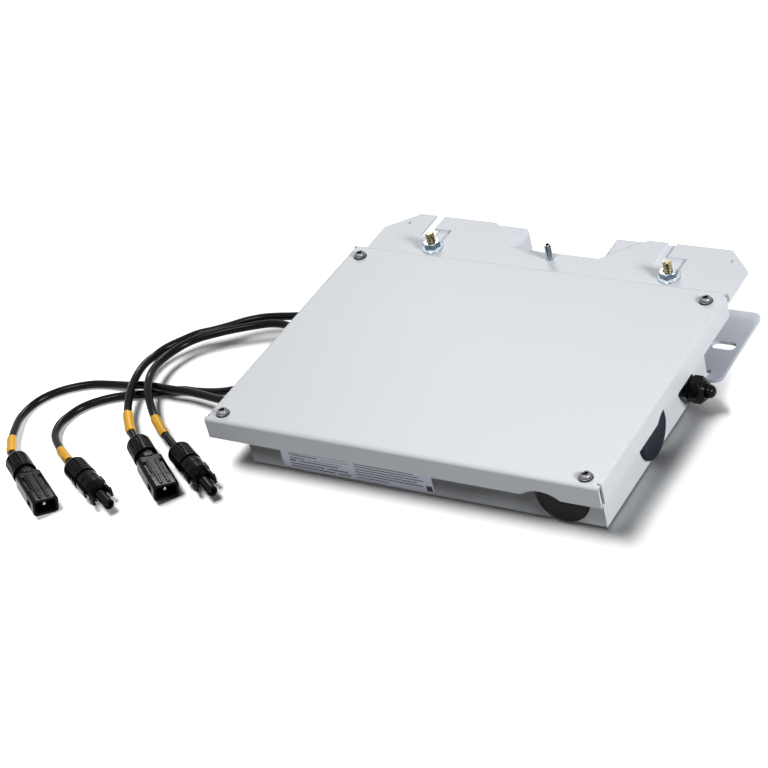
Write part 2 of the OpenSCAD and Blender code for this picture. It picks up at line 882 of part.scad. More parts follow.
// The dome nut of a gland: a hexagon that runs into a round, narrower mouth
module dome_nut(af, length, hex_len, mouth_d, thread_d, thread_len, bore) {
    edge = 1;
    collar = 0.8;
    collar_d = af - 0.4;
    dome = length - hex_len - collar - edge;
    difference() {
        union() {
            hex_nut(af, hex_len, bore);
            translate([0, 0, hex_len - edge]) cylinder(d = collar_d, h = edge + collar);
            translate([0, 0, hex_len + collar]) cylinder(d1 = collar_d, d2 = mouth_d, h = dome);
            translate([0, 0, length - edge]) cylinder(d1 = mouth_d, d2 = mouth_d - edge, h = edge);
        }
        translate([0, 0, -1]) cylinder(d = thread_d + 2 * fit, h = thread_len + 1);
        translate([0, 0, -1]) cylinder(d = bore, h = length + 2);
    }
}

module side_gland_nut() {
    start = seal_h + hex_h + part_gap;
    hex_len = 6;
    mouth_d = pin_d + 3;
    color("black") place() side_gland_spot() translate([0, 0, start]) {
        dome_nut(
            side_gland_af, side_nut_len, hex_len, mouth_d,
            side_gland_d, side_thread - start + part_gap, pin_d + 2 * fit
        );
    }
}

module side_gland_pin() {
    inside = 6;
    start = side_thread - inside;
    straight = side_gland_len + pin_stand - pin_d / 2;
    color("black") place() side_gland_spot() {
        translate([0, 0, start]) cylinder(d = pin_d, h = straight - start);
        translate([0, 0, straight]) rotate_extrude() quarter_disc(pin_d / 2);
    }
}

module lead_gland_body(i) {
    length = gland_tail + lead_thread;
    color("black") place() translate([tray_left, gland_y[i], lead_gland_z]) outwards(180) {
        difference() {
            union() {
                translate([0, 0, -gland_tail]) cylinder(d = lead_gland_d, h = length);
                hex_nut(lead_gland_af, lead_hex_h, gland_bore);
            }
            translate([0, 0, -gland_tail - 1]) cylinder(d = gland_bore, h = length + 2);
        }
    }
}

module lead_gland_nut(i) {
    start = lead_hex_h + part_gap;
    hex_len = 6.5;
    mouth_d = lead_d + 4;
    color("black") place() translate([tray_left, gland_y[i], lead_gland_z]) outwards(180) {
        translate([0, 0, start]) dome_nut(
            lead_gland_af, lead_nut_len, hex_len, mouth_d,
            lead_gland_d, lead_thread - start + part_gap, gland_bore
        );
    }
}

module gland_locknuts() {
    drop = -tray_sheet - gland_locknut_h;
    color("black") place() {
        lead_gland_spots() translate([0, 0, drop]) {
            hex_nut(lead_gland_af, gland_locknut_h, lead_gland_d + 2 * fit);
        }
        side_gland_spot() translate([0, 0, drop]) {
            hex_nut(side_gland_af, gland_locknut_h, side_gland_d + 2 * fit);
        }
    }
}

// Leads

function unit(v) = v / norm(v);
function tangent(p, i) = unit(p[min(i + 1, len(p) - 1)] - p[max(i - 1, 0)]);
function ring(p, i, r) =
    let (t = tangent(p, i), s = unit(cross(t, [0, 0, 1])), u = cross(s, t))
    [for (k = [0:tube_sides - 1]) let (a = 360 * k / tube_sides) p[i] + r * (cos(a) * s + sin(a) * u)];
function rings(p, r, from, to) = [for (i = [from:to]) each ring(p, i, r)];

// Triangles of a skin between rings, from the ring number base on
function skin(count, base, inside) = [
    for (i = [0:count - 2], k = [0:tube_sides - 1])
    let (
        j = (k + 1) % tube_sides,
        a = base + i * tube_sides + k,
        b = base + i * tube_sides + j,
        c = b + tube_sides,
        d = a + tube_sides
    )
    each (inside ? [[a, c, b], [a, d, c]] : [[a, b, c], [a, c, d]])
];

module tube(p, r) {
    count = len(p);
    last = (count - 1) * tube_sides;
    polyhedron(
        rings(p, r, 0, count - 1),
        concat(
            [[for (k = [tube_sides - 1:-1:0]) k]],
            skin(count, 0, false),
            [[for (k = [0:tube_sides - 1]) last + k]]
        )
    );
}

// A sleeve round the tube's skin, between two of its rings
module tube_sleeve(p, r, wall, from, to) {
    count = to - from + 1;
    inner = count * tube_sides;
    last = (count - 1) * tube_sides;
    polyhedron(
        concat(rings(p, r + wall, from, to), rings(p, r, from, to)),
        concat(
            skin(count, 0, false),
            skin(count, inner, true),
            [
                for (k = [0:tube_sides - 1]) let (j = (k + 1) % tube_sides)
                each [[j, k, inner + k, inner + j], [last + k, last + j, inner + last + j, inner + last + k]]
            ]
        )
    );
}

module lead(i) {
    color("black") tube(route(i), lead_d / 2);
}

module lead_sleeve(i) {
    p = route(i);
    color("gold") tube_sleeve(p, lead_d / 2, sleeve_wall, len(p) - 4, len(p) - 2);
}

module inner_wires() {
    reach = board_left - tray_left + lead_thread;
    color("black") place() lead_gland_spots() translate([0, 0, lead_thread - reach]) {
        cylinder(d = lead_d, h = reach);
    }
}

// Connectors, drawn along x from the rear face of the nut

module on_lead(i) {
    p = route(i);
    tip = p[len(p) - 1];
    d = unit(tip - p[len(p) - 2]);
    translate(tip - lead_seat * d) rotate([0, -asin(d[2]), atan2(d[1], d[0])]) children();
}

module along_x(at = 0) {
    translate([at, 0, 0]) rotate([90, 0, 90]) children();
}

module connector_nut(i) {
    shoulder = 4;
    groove_r = 1.1;
    groove_out = 0.3;
    groove_len = 0.75 * conn_nut_len;
    outer = conn_nut_d / 2;
    color("black") on_lead(i) difference() {
        along_x() rotate_extrude() {
            square([outer - shoulder, conn_nut_len]);
            translate([0, shoulder]) square([outer, conn_nut_len - shoulder]);
            translate([outer - shoulder, shoulder]) mirror([0, 1]) quarter_disc(shoulder);
        }
        along_x(-1) cylinder(d = gland_bore, h = conn_nut_len + 2);
        along_x(lead_seat) cylinder(d = spigot_d + 2 * fit, h = conn_nut_len);
        for (k = [0:conn_grooves - 1]) rotate([360 * (k + 0.5) / conn_grooves, 0, 0]) {
            translate([-1, outer + groove_out, 0]) rotate([0, 90, 0]) {
                cylinder(r = groove_r, h = groove_len);
            }
        }
    }
}

// Even numbers carry a socket connector, odd ones a plug connector
module socket_body() {
    start = conn_nut_len + part_gap;
    mouth = [socket_w - 2 * socket_wall, socket_h - 2 * socket_wall];
    corner = 3;
    mouth_corner = 1.8;
    rib = [socket_len - neck_end - 7, 2, socket_h / 2 + 0.7];
    rib_start = neck_end + 5;
    rib_side = 2.6;
    window = [9, 2, 4];
    window_start = neck_end + 8;
    window_side = socket_w / 2 - 3.4;
    window_low = socket_h / 2 - 1.5;
    notch = [7, 2, 5];
    notch_start = socket_len - 12;
    difference() {
        union() {
            along_x(lead_seat) cylinder(d = spigot_d, h = neck_end - lead_seat);
            along_x(start) cylinder(d = neck_d, h = neck_end - start);
            along_x(neck_end) linear_extrude(socket_len - neck_end) {
                translate([-socket_w / 2, -socket_h / 2]) round_rect([socket_w, socket_h], corner);
            }
            for (s = [-1, 1]) translate([rib_start, s * rib_side - rib[1] / 2, 0]) cube(rib);
        }
        along_x(socket_len - mouth_depth) linear_extrude(mouth_depth + 1) {
            translate([-mouth[0] / 2, -mouth[1] / 2]) round_rect(mouth, mouth_corner);
        }
        along_x(contact_back) cylinder(d = pin_contact_d + 2 * fit, h = socket_len);
        for (s = [-1, 1]) {
            translate([window_start, s * window_side - window[1] / 2, window_low]) cube(window);
            translate([notch_start, (s * socket_w - notch[1]) / 2, -notch[2] / 2]) cube(notch);
        }
    }
}

module socket_contact() {
    along_x(contact_back) cylinder(d = pin_contact_d, h = socket_len - contact_inset - contact_back);
}

module tip_body() {
    start = conn_nut_len + part_gap;
    shoulder = tip_len - nose_len;
    taper = 5;
    shoulder_d = tip_body_d - 3.5;
    arm = [8, 1.8, 5];
    arm_y = nose_d / 2 + 2;
    hook_start = shoulder + 3.2;
    hook = [[0, 0], [0, 2.6], [3.8, 1.5], [3.8, 0]];
    difference() {
        union() {
            along_x(lead_seat) cylinder(d = spigot_d, h = start - lead_seat + 1);
            along_x(start) cylinder(d = tip_body_d, h = shoulder - taper - start);
            along_x(shoulder - taper) cylinder(d1 = tip_body_d, d2 = shoulder_d, h = taper);
            along_x(shoulder - 1) cylinder(d = nose_d, h = nose_len + 1);
            for (s = [0, 1]) mirror([0, s, 0]) {
                translate([shoulder - 1, arm_y, -arm[2] / 2]) cube(arm);
                translate([hook_start, arm_y, -arm[2] / 2]) linear_extrude(arm[2]) polygon(hook);
            }
        }
        along_x(contact_back) cylinder(d = tube_contact_d + 2 * fit, h = tip_len);
    }
}

module tip_contact() {
    solid_len = 10;
    bore = 2.2;
    along_x(contact_back) difference() {
        cylinder(d = tube_contact_d, h = tip_len - 1 - contact_back);
        translate([0, 0, solid_len]) cylinder(d = bore, h = tip_len);
    }
}

module connector_body(i) {
    color("black") on_lead(i) rotate([-conn_roll[i], 0, 0]) {
        if (i % 2 == 0) socket_body();
        else tip_body();
    }
}

module connector_contact(i) {
    color("silver") on_lead(i) {
        if (i % 2 == 0) socket_contact();
        else tip_contact();
    }
}

// Inside

module circuit_board() {
    color("seagreen") place() difference() {
        translate([board_left, board_front, board_z]) {
            cube([board_right - board_left, board_back - board_front, board_t]);
        }
        for (p = board_spots) translate([p[0], p[1], board_z - 1]) {
            cylinder(d = board_screw_d + 2 * fit, h = board_t + 2);
        }
    }
}

module board_spacers() {
    color("silver") place() for (p = board_spots) translate([p[0], p[1], tray_sheet]) {
        difference() {
            cylinder(d = spacer_d, h = spacer_h);
            translate([0, 0, 1]) cylinder(d = board_screw_d + 2 * fit, h = spacer_h);
        }
    }
}

module board_screws() {
    reach = board_screw_reach + board_t;
    color("silver") place() for (p = board_spots) translate([p[0], p[1], board_top]) {
        translate([0, 0, -reach]) cylinder(d = board_screw_d, h = reach + eps);
        difference() {
            cylinder(d = 1.9 * board_screw_d, h = board_screw_head_h);
            translate([0, 0, 1]) hex_prism(2, 2);
        }
    }
}

// A terminal block with a row of screw wells in its top
module terminal_block(length, poles) {
    depth = 14;
    height = 15;
    pole = length / poles;
    well_d = 4.5;
    well_depth = 6;
    difference() {
        cube([depth, length, height]);
        for (k = [0:poles - 1]) translate([depth / 2, (k + 0.5) * pole, height - well_depth]) {
            cylinder(d = well_d, h = well_depth + 1);
        }
    }
}

// One block for each pair of leads
module input_terminals() {
    pole = 8;
    color("forestgreen") place() for (k = [0, 2]) {
        first = min(gland_y[k], gland_y[k + 1]) - pole;
        length = abs(gland_y[k + 1] - gland_y[k]) + 2 * pole;
        translate([board_left, first, board_top]) terminal_block(length, 4);
    }
}

module output_terminals() {
    length = 60;
    inset = 16;
    color("forestgreen") place() {
        translate([board_right - inset, tray_mid[1] - length / 2, board_top]) terminal_block(length, 6);
    }
}

module relay(i) {
    color("royalblue") place() translate([tray_mid[0] + relay_x, tray_mid[1] + relay_y[i], board_top]) {
        cube(relay_size);
    }
}

module power_module() {
    size = module_size;
    gap = [module_gap_w, size[1] + 2, module_gap_h + 1];
    color("darkslategray") place() translate([tray_mid[0], tray_mid[1] - size[1] / 2, board_top]) {
        difference() {
            cube(size);
            for (k = [1:6]) translate([k * module_pitch, -1, size[2] - module_gap_h]) cube(gap);
        }
    }
}

module earth_terminal() {
    stud_d = 5;
    stud_h = 16;
    nut = 8;
    nut_thick = 4;
    washer_z = 6;
    washer_h = 1;
    color("goldenrod") place() translate([tray_right - 14, tray_back - 16, tray_sheet]) {
        cylinder(d = stud_d, h = stud_h);
        hex_prism(nut, nut_thick);
        translate([0, 0, washer_z]) cylinder(d = nut + 2, h = washer_h);
        translate([0, 0, washer_z + washer_h]) hex_prism(nut, nut_thick);
    }
}

tray();
lid();
lid_gasket();
lid_screws();
lid_screw_seals();
press_nuts();
hook_plate();
hook_plate_rivets();
mounting_bracket();
rail_bolts();
flange_nuts();
set_screw();
set_screw_nut();
front_plug();
side_plug();
plug_locknuts();
side_gland_body();
side_gland_nut();
side_gland_seal();
side_gland_pin();
gland_locknuts();
circuit_board();
board_spacers();
board_screws();
input_terminals();
output_terminals();
relay(0);  // relay_1
relay(1);  // relay_2
power_module();
earth_terminal();
inner_wires();
for (i = [0:3]) {
    lead_gland_body(i);
    lead_gland_nut(i);
    lead(i);
    lead_sleeve(i);
    connector_nut(i);
    connector_body(i);
    connector_contact(i);
}
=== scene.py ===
# %% [markdown]
# # Dressing a rapid shutdown box
# The box is a folded sheet case that hooks onto two bolts of a mounting bracket. Four leads
# leave it on the left and end in push-fit connectors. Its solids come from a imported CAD
# model and never move. This lesson gives them finishes, and swaps the small hardware for
# closer models, because that is where a plain solid looks like a toy.

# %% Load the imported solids
import json
import math

import bmesh
import bpy
from mathutils import Matrix, Vector

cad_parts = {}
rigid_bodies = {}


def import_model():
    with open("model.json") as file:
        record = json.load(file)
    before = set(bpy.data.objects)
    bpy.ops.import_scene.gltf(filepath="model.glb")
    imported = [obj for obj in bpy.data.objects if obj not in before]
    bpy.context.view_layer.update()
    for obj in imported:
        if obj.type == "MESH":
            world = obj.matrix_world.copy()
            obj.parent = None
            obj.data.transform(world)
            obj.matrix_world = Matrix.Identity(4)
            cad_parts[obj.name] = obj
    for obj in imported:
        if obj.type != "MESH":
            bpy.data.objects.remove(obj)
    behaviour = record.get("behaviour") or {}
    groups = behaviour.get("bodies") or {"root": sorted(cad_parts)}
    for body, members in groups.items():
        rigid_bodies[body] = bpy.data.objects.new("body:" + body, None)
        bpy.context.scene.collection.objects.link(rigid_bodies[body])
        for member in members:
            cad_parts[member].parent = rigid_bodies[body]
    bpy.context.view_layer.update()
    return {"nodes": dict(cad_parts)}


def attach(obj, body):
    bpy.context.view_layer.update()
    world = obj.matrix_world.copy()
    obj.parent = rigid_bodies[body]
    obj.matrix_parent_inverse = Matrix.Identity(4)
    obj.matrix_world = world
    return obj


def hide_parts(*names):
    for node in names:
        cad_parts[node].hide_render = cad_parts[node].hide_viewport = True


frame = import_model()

MM = 0.001


def placed(name, data):
    """A new object in the scene."""
    made = bpy.data.objects.new(name, data)
    bpy.context.scene.collection.objects.link(made)
    return made


# %% [markdown]
# ## The camera
# A product photograph is taken from far away with a long lens, so its edges stay nearly
# parallel. The view here was solved from the lid's corners and screws, the two round plugs
# and the bolts. It is kept as an azimuth, an elevation, a roll and a distance, since a
# photographer could set those on a tripod. The aim is a little off the target, which places
# the box in the frame.

# %% Camera
AZIMUTH, ELEVATION, ROLL = (math.radians(a) for a in (34.73, 34.96, -12.86))
CAMERA_DISTANCE = 1.5038
CAMERA_TARGET = Vector((-0.006, -0.021, 0.025))
AIM_RIGHT, AIM_UP = -0.0400, -0.0064
LENS = 107.37

away = Vector((
    math.sin(AZIMUTH) * math.cos(ELEVATION),
    -math.cos(AZIMUTH) * math.cos(ELEVATION),
    math.sin(ELEVATION),
))
level_right = Vector((math.cos(AZIMUTH), math.sin(AZIMUTH), 0))
level_up = level_right.cross(-away)
rolled_right = math.cos(ROLL) * level_right + math.sin(ROLL) * level_up
rolled_up = math.cos(ROLL) * level_up - math.sin(ROLL) * level_right
forward = (AIM_RIGHT * rolled_right + AIM_UP * rolled_up - away).normalized()
right = (rolled_right - forward * rolled_right.dot(forward)).normalized()
turn = Matrix((right, right.cross(forward), -forward)).transposed().to_4x4()

camera = placed("camera", bpy.data.cameras.new("camera"))
camera.data.lens = LENS
camera.data.clip_end = 20
camera.matrix_world = Matrix.Translation(CAMERA_TARGET + away * CAMERA_DISTANCE) @ turn
bpy.context.scene.camera = camera
print("camera at", [round(x, 4) for x in camera.matrix_world.translation])

# %% [markdown]
# ## Node trees as expressions
# A finish is a node tree, and a tree of sums is hard to read as boxes and wires. The first
# class wraps one socket, so a sum on it is written as in Python and adds its own nodes.
# Any other node comes from one method that takes its type, its settings and its inputs.
# The floor and the world are built with the same two classes.

# %% Shader expressions
class Value:
    """One socket of a node tree, used in plain sums."""

    def __init__(self, graph, socket):
        self.graph, self.socket = graph, socket

    def math(self, operation, *values):
        return self.graph.node("ShaderNodeMath", {"operation": operation}, values)

    def __add__(self, other):
        return self.math("ADD", self, other)

    def __sub__(self, other):
        return self.math("SUBTRACT", self, other)

    def __rsub__(self, other):
        return self.math("SUBTRACT", other, self)

    def __mul__(self, other):
        return self.math("MULTIPLY", self, other)

    def __lt__(self, other):
        return self.math("LESS_THAN", self, other)

    def __gt__(self, other):
        return self.math("GREATER_THAN", self, other)

    __radd__, __rmul__ = __add__, __mul__


class Graph:
    """The node tree of a material or a world."""

    def __init__(self, owner):
        owner.use_nodes = True
        self.tree = owner.node_tree

    def node(self, kind, settings=None, values=(), output=0):
        made = self.tree.nodes.new(kind)
        for key, value in (settings or {}).items():
            setattr(made, key, value)
        pairs = values.items() if isinstance(values, dict) else enumerate(values)
        for key, value in pairs:
            self.feed(made.inputs[key], value)
        return Value(self, made.outputs[output]) if made.outputs else None

    def feed(self, socket, value):
        if isinstance(value, Value):
            self.tree.links.new(value.socket, socket)
        else:
            socket.default_value = value


class Finish(Graph):
    """A procedural material, with the record's slot that it belongs to."""

    def __init__(self, name):
        self.slot = name
        self.material = bpy.data.materials.new(name)
        super().__init__(self.material)
        self.shader = self.tree.nodes["Principled BSDF"]
        self.place = self.node("ShaderNodeTexCoord", output="Object")

    def set(self, **sockets):
        for name, value in sockets.items():
            self.feed(self.shader.inputs[name.replace("_", " ")], value)

    def axis(self, index):
        return self.node("ShaderNodeSeparateXYZ", values=[self.place], output=index)

    def facing(self, index):
        """How far the surface looks along one axis, from -1 to 1."""
        normal = self.node("ShaderNodeNewGeometry", output="Normal")
        return self.node("ShaderNodeSeparateXYZ", values=[normal], output=index)

    def ramp(self, value, low, high, shape="LINEAR"):
        """0 where the value is low, 1 where it is high, and between them on the way."""
        wants = [value, low, high, 0.0, 1.0]
        return self.node("ShaderNodeMapRange", {"interpolation_type": shape}, wants)

    def noise(self, size_mm, detail=2.0, stretch=(1, 1, 1)):
        """Noise with features of about size_mm, drawn out along the axes by stretch."""
        shares = tuple(1 / s for s in stretch)
        drawn = self.node("ShaderNodeVectorMath", {"operation": "MULTIPLY"}, (self.place, shares))
        wants = {"Vector": drawn, "Scale": 1 / (size_mm * MM), "Detail": detail}
        return self.node("ShaderNodeTexNoise", values=wants)

    def blend(self, low, high, share):
        """From one colour to another. The low one may be a colour that already varies."""
        low = low if isinstance(low, Value) else (*low, 1)
        colours = {0: share, 6: low, 7: (*high, 1)}
        return self.node("ShaderNodeMix", {"data_type": "RGBA"}, colours, 2)

    def relief(self, height, depth_mm):
        wants = {"Strength": 1.0, "Distance": depth_mm * MM, "Height": height}
        self.set(Normal=self.node("ShaderNodeBump", values=wants))


def tint(red, green, blue):
    """A colour as it looks on a screen, 0 to 255, turned into the light that it stands for."""
    shares = [c / 255 for c in (red, green, blue)]
    return tuple(c / 12.92 if c <= 0.04045 else ((c + 0.055) / 1.055) ** 2.4 for c in shares)

# %% [markdown]
# ## One recipe for moulded, coated and plated surfaces
# Powder coat, moulded plastic and zinc plating differ in colour, gloss and grain, but each
# has the same three layers of variation: broad cloudy patches that shift the colour a
# little, a finer grain that shifts the gloss, and a shallow relief. One function covers
# them. A special finish starts from it with no colour, and paints its own.

# %% Finish recipe
def surface(name, roughness, patch, grain, spread, depth, colour=None, shade=0.0,
            gleam=0.5, metallic=0.0):
    """Patch, grain and the relief's depth are in mm. Spread is how far the roughness varies,
    shade how much darker the patches get, and gleam the specular level."""
    finish = Finish(name)
    patches, grains = finish.noise(patch, 3.0), finish.noise(grain, 2.0)
    if colour:
        darker = tuple(c * (1 - shade) for c in colour)
        finish.set(Base_Color=finish.blend(darker, colour, patches))
    finish.set(
        Roughness=(grains - 0.5) * spread + (patches - 0.5) * spread + roughness,
        Metallic=metallic,
        Specular_IOR_Level=gleam,
    )
    finish.relief(grains, depth)
    return finish


def metal(*values):
    return surface(*values, metallic=1.0)


case_paint = surface("case_paint", 0.44, 70, 0.9, 0.10, 0.012, gleam=0.35)
bracket_paint = surface("bracket_paint", 0.44, 45, 1.1, 0.12, 0.012, gleam=0.35)
dark_steel = metal("dark_steel", 0.40, 2, 0.5, 0.2, 0.006)
bright_zinc = metal("bright_zinc", 0.20, 3, 0.6, 0.2, 0.006)
yellow_zinc = metal("yellow_zinc", 0.32, 2, 0.6, 0.2, 0.006)
blued_steel = metal("blued_steel", 0.22, 2, 0.6, 0.2, 0.006)
blued_steel.slot = dark_steel.slot
contact_metal = metal("contact_metal", 0.24, 2, 0.4, 0.12, 0.003, tint(150, 150, 146), 0.15)
earth_brass = metal("earth_brass", 0.28, 3, 0.5, 0.15, 0.005, tint(206, 178, 106), 0.25)
gasket_rubber = surface("gasket_rubber", 0.75, 12, 0.8, 0.15, 0.02, tint(30, 30, 32), 0.15)
plug_black = surface("plug_black", 0.40, 14, 0.7, 0.12, 0.012, tint(15, 15, 18), 0.15, 0.12)
# The side plug gets a lighter, bluer copy of the plugs' black: painted light where the key lamp
# falls on it.
plug_painted_light = surface("plug_painted_light", 0.42, 14, 0.7, 0.12, 0.012, tint(30, 34, 43), 0.15, 0.12)
plug_painted_light.slot = plug_black.slot
gland_black = surface("gland_black", 0.12, 9, 0.8, 0.03, 0.001, tint(6, 6, 8), 0.20, 0.10)
connector_black = surface(
    "connector_black", 0.18, 8, 0.6, 0.005, 0.0003, tint(6, 6, 8), 0.20, 0.07)
lead_sheath = surface("lead_sheath", 0.19, 16, 0.9, 0.01, 0.0006, tint(9, 9, 12), 0.20, 0.12)
terminal_green = surface("terminal_green", 0.40, 10, 0.6, 0.10, 0.01, tint(58, 128, 74), 0.10)
relay_blue = surface("relay_blue", 0.35, 12, 0.6, 0.10, 0.01, tint(48, 82, 150), 0.10)
module_grey = surface("module_grey", 0.45, 10, 0.7, 0.12, 0.015, tint(70, 73, 78), 0.12)

# %% [markdown]
# Small bright metal looks right only when it has something dark to mirror. In a white
# studio that is missing, so the plated parts carry a painted reflection of it in their colour:
# the threads have painted dark streaks along their length, and the upright sides of the nuts
# and screw heads are painted darker than their tops.

# %% Plated metal with painted reflections
def painted_reflection_streaks(finish, dark, light):
    """Painted reflection: dark streaks along z on a thread."""
    streaks = finish.noise(0.9, 2.0, (1, 1, 24))
    share = finish.ramp(streaks, 0.44, 0.56, "SMOOTHSTEP")
    finish.set(Base_Color=finish.blend(dark, light, share))


def painted_reflection_sides(finish, dark, light):
    """Painted reflection: light where a face looks up, dark where it looks sideways."""
    upward = finish.noise(2.5, 2.0) * 0.5 + finish.facing(2)
    share = finish.ramp(upward, 0.15, 0.75, "SMOOTHSTEP")
    finish.set(Base_Color=finish.blend(dark, light, share))


# Painted reflections: dark streaks on the threads, darker upright sides on nuts and screw heads.
painted_reflection_streaks(yellow_zinc, tint(58, 52, 36), tint(212, 201, 164))
painted_reflection_streaks(blued_steel, tint(52, 62, 72), tint(214, 226, 234))
painted_reflection_sides(bright_zinc, tint(108, 126, 140), tint(204, 218, 228))
painted_reflection_sides(dark_steel, tint(44, 44, 48), tint(122, 122, 128))

# %% [markdown]
# Folds that face right, the lid's above all, are painted a little greyer than the flat sheet
# beside them: painted shade that tones down the bright line the key lamp draws on them. A
# fold faces half up and half sideways, so the product of the two parts of its normal finds
# it. The bracket's two feet are painted darker towards their front end, a painted shade of
# the corner between the box and the floor where they lie.

# %% Painted shade on folds and feet
# Painted shade on the folds that face right, where the key lamp draws a bright line.
painted_fold_shade = case_paint.facing(0) * case_paint.facing(2)
painted_fold_shade = painted_fold_shade.math("MAXIMUM", painted_fold_shade, 0.0) * 2
flat = case_paint.blend(tint(211, 214, 218), tint(217, 220, 224), case_paint.noise(70, 3.0))
case_paint.set(Base_Color=case_paint.blend(flat, tint(203, 206, 211), painted_fold_shade))

# Painted shade: the bracket's feet grow darker towards their front end.
FEET_BACK, FEET_FRONT, ABOVE_FEET = 105 * MM, 34 * MM, 4 * MM
foot_shade_to_front = bracket_paint.ramp(bracket_paint.axis(1), FEET_BACK, FEET_FRONT)
foot_painted_shade = bracket_paint.blend(tint(220, 223, 230), tint(166, 170, 181), foot_shade_to_front)
above = bracket_paint.axis(2) > ABOVE_FEET
bracket_paint.set(Base_Color=bracket_paint.blend(foot_painted_shade, tint(215, 218, 224), above))

# %% [markdown]
# The yellow sleeve is heat-shrink tube, which takes on faint creases as it shrinks, so its
# grain is coarser and its relief deeper. The circuit board is hidden once the lid is on,
# yet it still gets its copper tracks: two crossed sets of thin lines.

# %% Sleeve and board finishes
sleeve_yellow = surface(
    "sleeve_yellow", 0.34, 5, 1.4, 0.10, 0.02, tint(250, 184, 18), 0.10, 0.3)
board_green = surface("board_green", 0.32, 25, 0.8, 0.10, 0.01)
TRACK_PITCH, TRACK_HALF = 5 * MM, 0.5 * MM


def tracks(axis):
    """1 on thin parallel tracks across the given axis of the board."""
    wave = board_green.axis(axis).math("PINGPONG", board_green.axis(axis), TRACK_PITCH / 2)
    return wave < TRACK_HALF


patchy = board_green.noise(18) > 0.52
copper = tracks(0) * patchy + tracks(1) * (1 - patchy)
board_green.set(Base_Color=board_green.blend(tint(38, 104, 66), tint(74, 142, 84), copper))
print("finishes:", len(bpy.data.materials))

# %% [markdown]
# ## Shapes from bmesh operators
# Nearly all small hardware is turned, extruded or cut, so four helpers make it: a lathe
# that spins an outline, a prism, a loft that draws a rounded rectangle out through
# stations, and a carve that runs a Boolean modifier. They work in millimetres, where
# Blender's merge distances are comfortable, and a piece is scaled once, at the end.

# %% Shape helpers
def arc(centre, radius, start, end, steps=6):
    """Points along an arc of an outline, with angles in degrees."""
    angles = [math.radians(start + (end - start) * k / steps) for k in range(steps + 1)]
    return [(centre[0] + radius * math.cos(a), centre[1] + radius * math.sin(a)) for a in angles]


def settle(shape):
    """Merges doubles and turns the faces outwards."""
    bmesh.ops.remove_doubles(shape, verts=shape.verts, dist=1e-4)
    bmesh.ops.dissolve_degenerate(shape, dist=1e-5, edges=shape.edges)
    bmesh.ops.recalc_face_normals(shape, faces=shape.faces)
    return shape


def lathe(outline, sides=72):
    """Spins an outline of (radius, height) that is closed, or ends on the z axis."""
    shape = bmesh.new()
    corners = [shape.verts.new((r, 0, z)) for r, z in outline]
    edges = [shape.edges.new(pair) for pair in zip(corners, corners[1:])]
    if outline[0][0] > 0 or outline[-1][0] > 0:
        edges.append(shape.edges.new((corners[-1], corners[0])))
    bmesh.ops.spin(
        shape, geom=corners + edges, cent=(0, 0, 0), axis=(0, 0, 1), dvec=(0, 0, 0),
        angle=2 * math.pi, steps=sides, use_merge=True,
    )
    return settle(shape)


def prism(outline, height):
    """Draws a flat outline up along z."""
    shape = bmesh.new()
    base = shape.faces.new([shape.verts.new((x, y, 0)) for x, y in outline])
    grown = bmesh.ops.extrude_face_region(shape, geom=[base])["geom"]
    raised = [g for g in grown if isinstance(g, bmesh.types.BMVert)]
    bmesh.ops.translate(shape, verts=raised, vec=(0, 0, height))
    return settle(shape)


def hexagon(across_flats, height):
    """A hexagonal prism with two corners on the x axis."""
    reach = across_flats / math.sqrt(3)
    return prism(arc((0, 0), reach, 0, 300, 5), height)


def block(size, middle, edge=0.0):
    """A box of the given size, with its edges rounded if a radius is given."""
    shape = bmesh.new()
    bmesh.ops.create_cube(shape, size=1.0)
    bmesh.ops.scale(shape, vec=size, verts=shape.verts)
    bmesh.ops.translate(shape, vec=middle, verts=shape.verts)
    if edge:
        bmesh.ops.bevel(
            shape, geom=list(shape.edges), offset=edge, segments=3, profile=0.5,
            affect="EDGES", material=-1,
        )
    return shape


def loft(stations, corner_sides=6):
    """Draws a rounded rectangle out through stations of (height, width, depth, corner)."""
    shape = bmesh.new()
    count = 4 * corner_sides
    half_step = Matrix.Rotation(math.pi / count, 4, "Z")
    bmesh.ops.create_circle(shape, cap_ends=False, radius=1, segments=count, matrix=half_step)
    unit = {v: v.co.copy() for v in shape.verts}
    edges = list(shape.edges)
    for number, (height, width, depth, corner) in enumerate(stations):
        if number:
            old = unit
            grown = bmesh.ops.extrude_edge_only(shape, edges=edges)["geom"]
            edges = [g for g in grown if isinstance(g, bmesh.types.BMEdge)]
            unit = {}
            for vert in (g for g in grown if isinstance(g, bmesh.types.BMVert)):
                joined = (e.other_vert(vert) for e in vert.link_edges)
                unit[vert] = next(old[v] for v in joined if v in old)
            edges = [e for e in edges if all(v in unit for v in e.verts)]
        for vert, spot in unit.items():
            across = math.copysign(width / 2 - corner, spot.x) + corner * spot.x
            along = math.copysign(depth / 2 - corner, spot.y) + corner * spot.y
            vert.co = (across, along, height)
    bmesh.ops.holes_fill(shape, edges=[e for e in shape.edges if e.is_boundary])
    return settle(shape)


def moved(shape, matrix):
    bmesh.ops.transform(shape, matrix=matrix, verts=shape.verts)
    return shape


def gathered(*shapes):
    """One shape that holds several side by side."""
    whole = bmesh.new()
    for shape in shapes:
        part = bpy.data.meshes.new("part")
        shape.to_mesh(part)
        whole.from_mesh(part)
        bpy.data.meshes.remove(part)
    return whole


